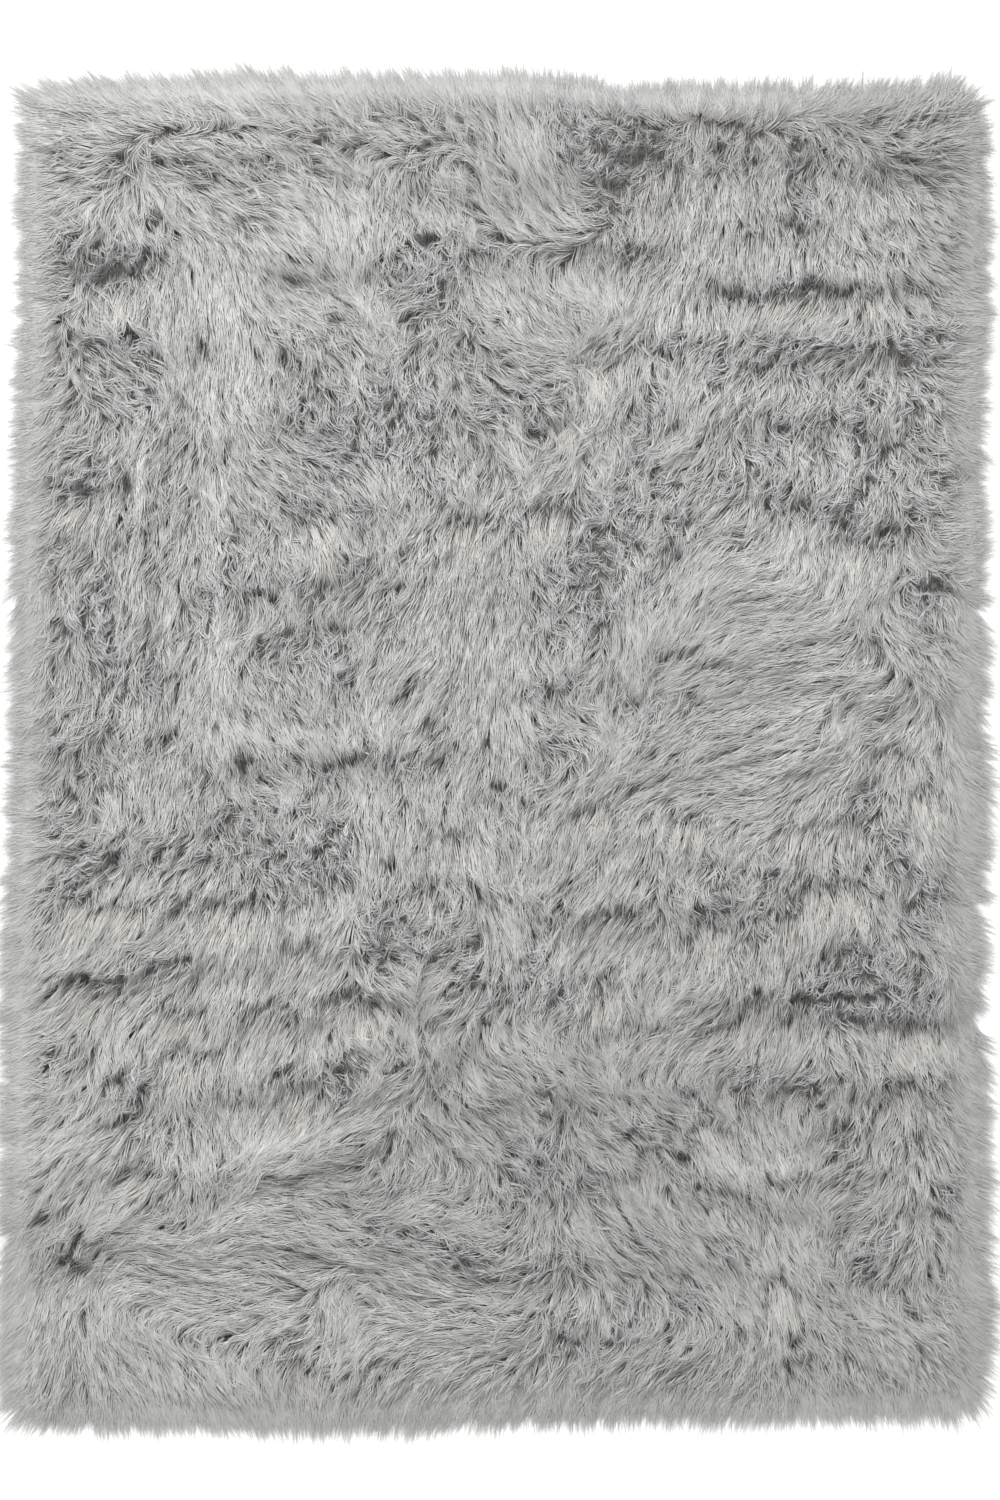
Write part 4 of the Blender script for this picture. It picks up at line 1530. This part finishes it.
class SHAGRUG_OT_rim_hair(bpy.types.Operator):
    """Grow the locks and hair that hang over the edge of the backing and lie out on the floor"""

    bl_idname = "shag_rug.rim_hair"
    bl_label = "Rim hair"

    def execute(self, context):
        sizes = context.scene.shag_rug_pile
        x, y = shaken_grid(sizes.rim_lock_spacing, np.random.default_rng(RIM_ROOT_SEED))
        edge = inside_edge(x, y)
        band = RIM_BAND * np.random.default_rng(RIM_BAND_SEED).uniform(*RIM_BAND_SHARES, len(edge))
        x, y = roots_from_front(x, y, (edge > 0.0) & (edge < band))
        chance = np.random.default_rng(RIM_SEED)
        reach = inside_edge(x, y) + RIM_REACH * chance.uniform(*RIM_OVERREACH, len(x))
        locks = Locks(x, y, COMBED_STEPS, reach, RIM_TURNED_OUT, chance)
        strand_width = sizes.strand_width * RIM_STRAND_WIDTH
        lock_width = sizes.rim_lock_spacing * RIM_LOCK_WIDTH
        strands = Strands(locks, RIM_STRANDS, strand_width, lock_width, RIM_GATHER, RIM_RAGGED)
        add_pile_piece("rim_hair", strands)
        return {"FINISHED"}


class SHAGRUG_OT_stage(bpy.types.Operator):
    """Set up the pale floor, the soft light and the camera straight above"""

    bl_idname = "shag_rug.stage"
    bl_label = "Stage"

    def execute(self, context):
        stage = context.scene.shag_rug_stage
        add_floor(context)
        add_lights(context, stage)
        add_camera(context, stage)
        context.scene.view_settings.view_transform = "Standard"
        return {"FINISHED"}


def add_floor(context):
    """A wide pale floor just under the rug."""
    mesh = bpy.data.meshes.new("floor")
    shape = bmesh.new()
    bmesh.ops.create_grid(shape, x_segments=2, y_segments=2, size=FLOOR_REACH)
    shape.to_mesh(mesh)
    shape.free()
    mesh.materials.append(floor_finish())
    floor = bpy.data.objects.new("floor", mesh)
    context.scene.collection.objects.link(floor)


def add_lights(context, stage):
    """Even light from all round, and one large soft lamp up behind the rug's left corner."""
    world = bpy.data.worlds.new("studio")
    world.use_nodes = True
    background = world.node_tree.nodes["Background"]
    background.inputs["Color"].default_value = (1.0, 1.0, 1.0, 1.0)
    background.inputs["Strength"].default_value = stage.sky
    context.scene.world = world
    lamp = bpy.data.lights.new("key", "AREA")
    lamp.shape = "RECTANGLE"
    lamp.size, lamp.size_y = KEY_SIZE
    lamp.energy = stage.key_power
    key = bpy.data.objects.new("key", lamp)
    key.location = KEY_PLACE
    key.rotation_euler = (-key.location).to_track_quat("-Z", "Y").to_euler()
    context.scene.collection.objects.link(key)


def add_camera(context, stage):
    """A camera straight above, with the rug's long way up the picture."""
    lens = bpy.data.cameras.new("camera")
    lens.sensor_fit = "VERTICAL"
    lens.sensor_height = SENSOR_HEIGHT
    lens.lens = SENSOR_HEIGHT * (stage.camera_height - PILE_LEVEL) / stage.view_length
    lens.clip_end = FURTHEST_SEEN
    camera = bpy.data.objects.new("camera", lens)
    camera.location = (*CAMERA_PLACE, stage.camera_height)
    context.scene.collection.objects.link(camera)
    context.scene.camera = camera


class SHAGRUG_PT_panel(bpy.types.Panel):
    """The rug's pieces and sizes"""

    bl_label = "Shag Rug"
    bl_idname = "SHAGRUG_PT_panel"
    bl_space_type = "VIEW_3D"
    bl_region_type = "UI"
    bl_category = "Shag Rug"

    def draw(self, context):
        for operator in OPERATORS:
            self.layout.operator(operator.bl_idname)
        scene = context.scene
        for settings in (scene.shag_rug_pile, scene.shag_rug_colours, scene.shag_rug_stage):
            for name in settings.__annotations__:
                self.layout.prop(settings, name)


OPERATORS = (
    SHAGRUG_OT_underfur,
    SHAGRUG_OT_backing,
    SHAGRUG_OT_combed_hair,
    SHAGRUG_OT_ruffled_hair,
    SHAGRUG_OT_rim_hair,
    SHAGRUG_OT_stage,
)
SETTINGS = (ShagRugPile, ShagRugColours, ShagRugStage)


def register():
    """Makes the settings, operators and panel known."""
    for made in (*SETTINGS, *OPERATORS, SHAGRUG_PT_panel):
        bpy.utils.register_class(made)
    bpy.types.Scene.shag_rug_pile = PointerProperty(type=ShagRugPile)
    bpy.types.Scene.shag_rug_colours = PointerProperty(type=ShagRugColours)
    bpy.types.Scene.shag_rug_stage = PointerProperty(type=ShagRugStage)


def unregister():
    """Takes them away again."""
    del bpy.types.Scene.shag_rug_pile
    del bpy.types.Scene.shag_rug_colours
    del bpy.types.Scene.shag_rug_stage
    for made in reversed((*SETTINGS, *OPERATORS, SHAGRUG_PT_panel)):
        bpy.utils.unregister_class(made)


def main():
    """Makes the whole rug and its stage, and notes the solid's box and the dressed rug's."""
    register()
    for operator in OPERATORS:
        group, name = operator.bl_idname.split(".")
        getattr(getattr(bpy.ops, group), name)()


if __name__ == "__main__":
    main()
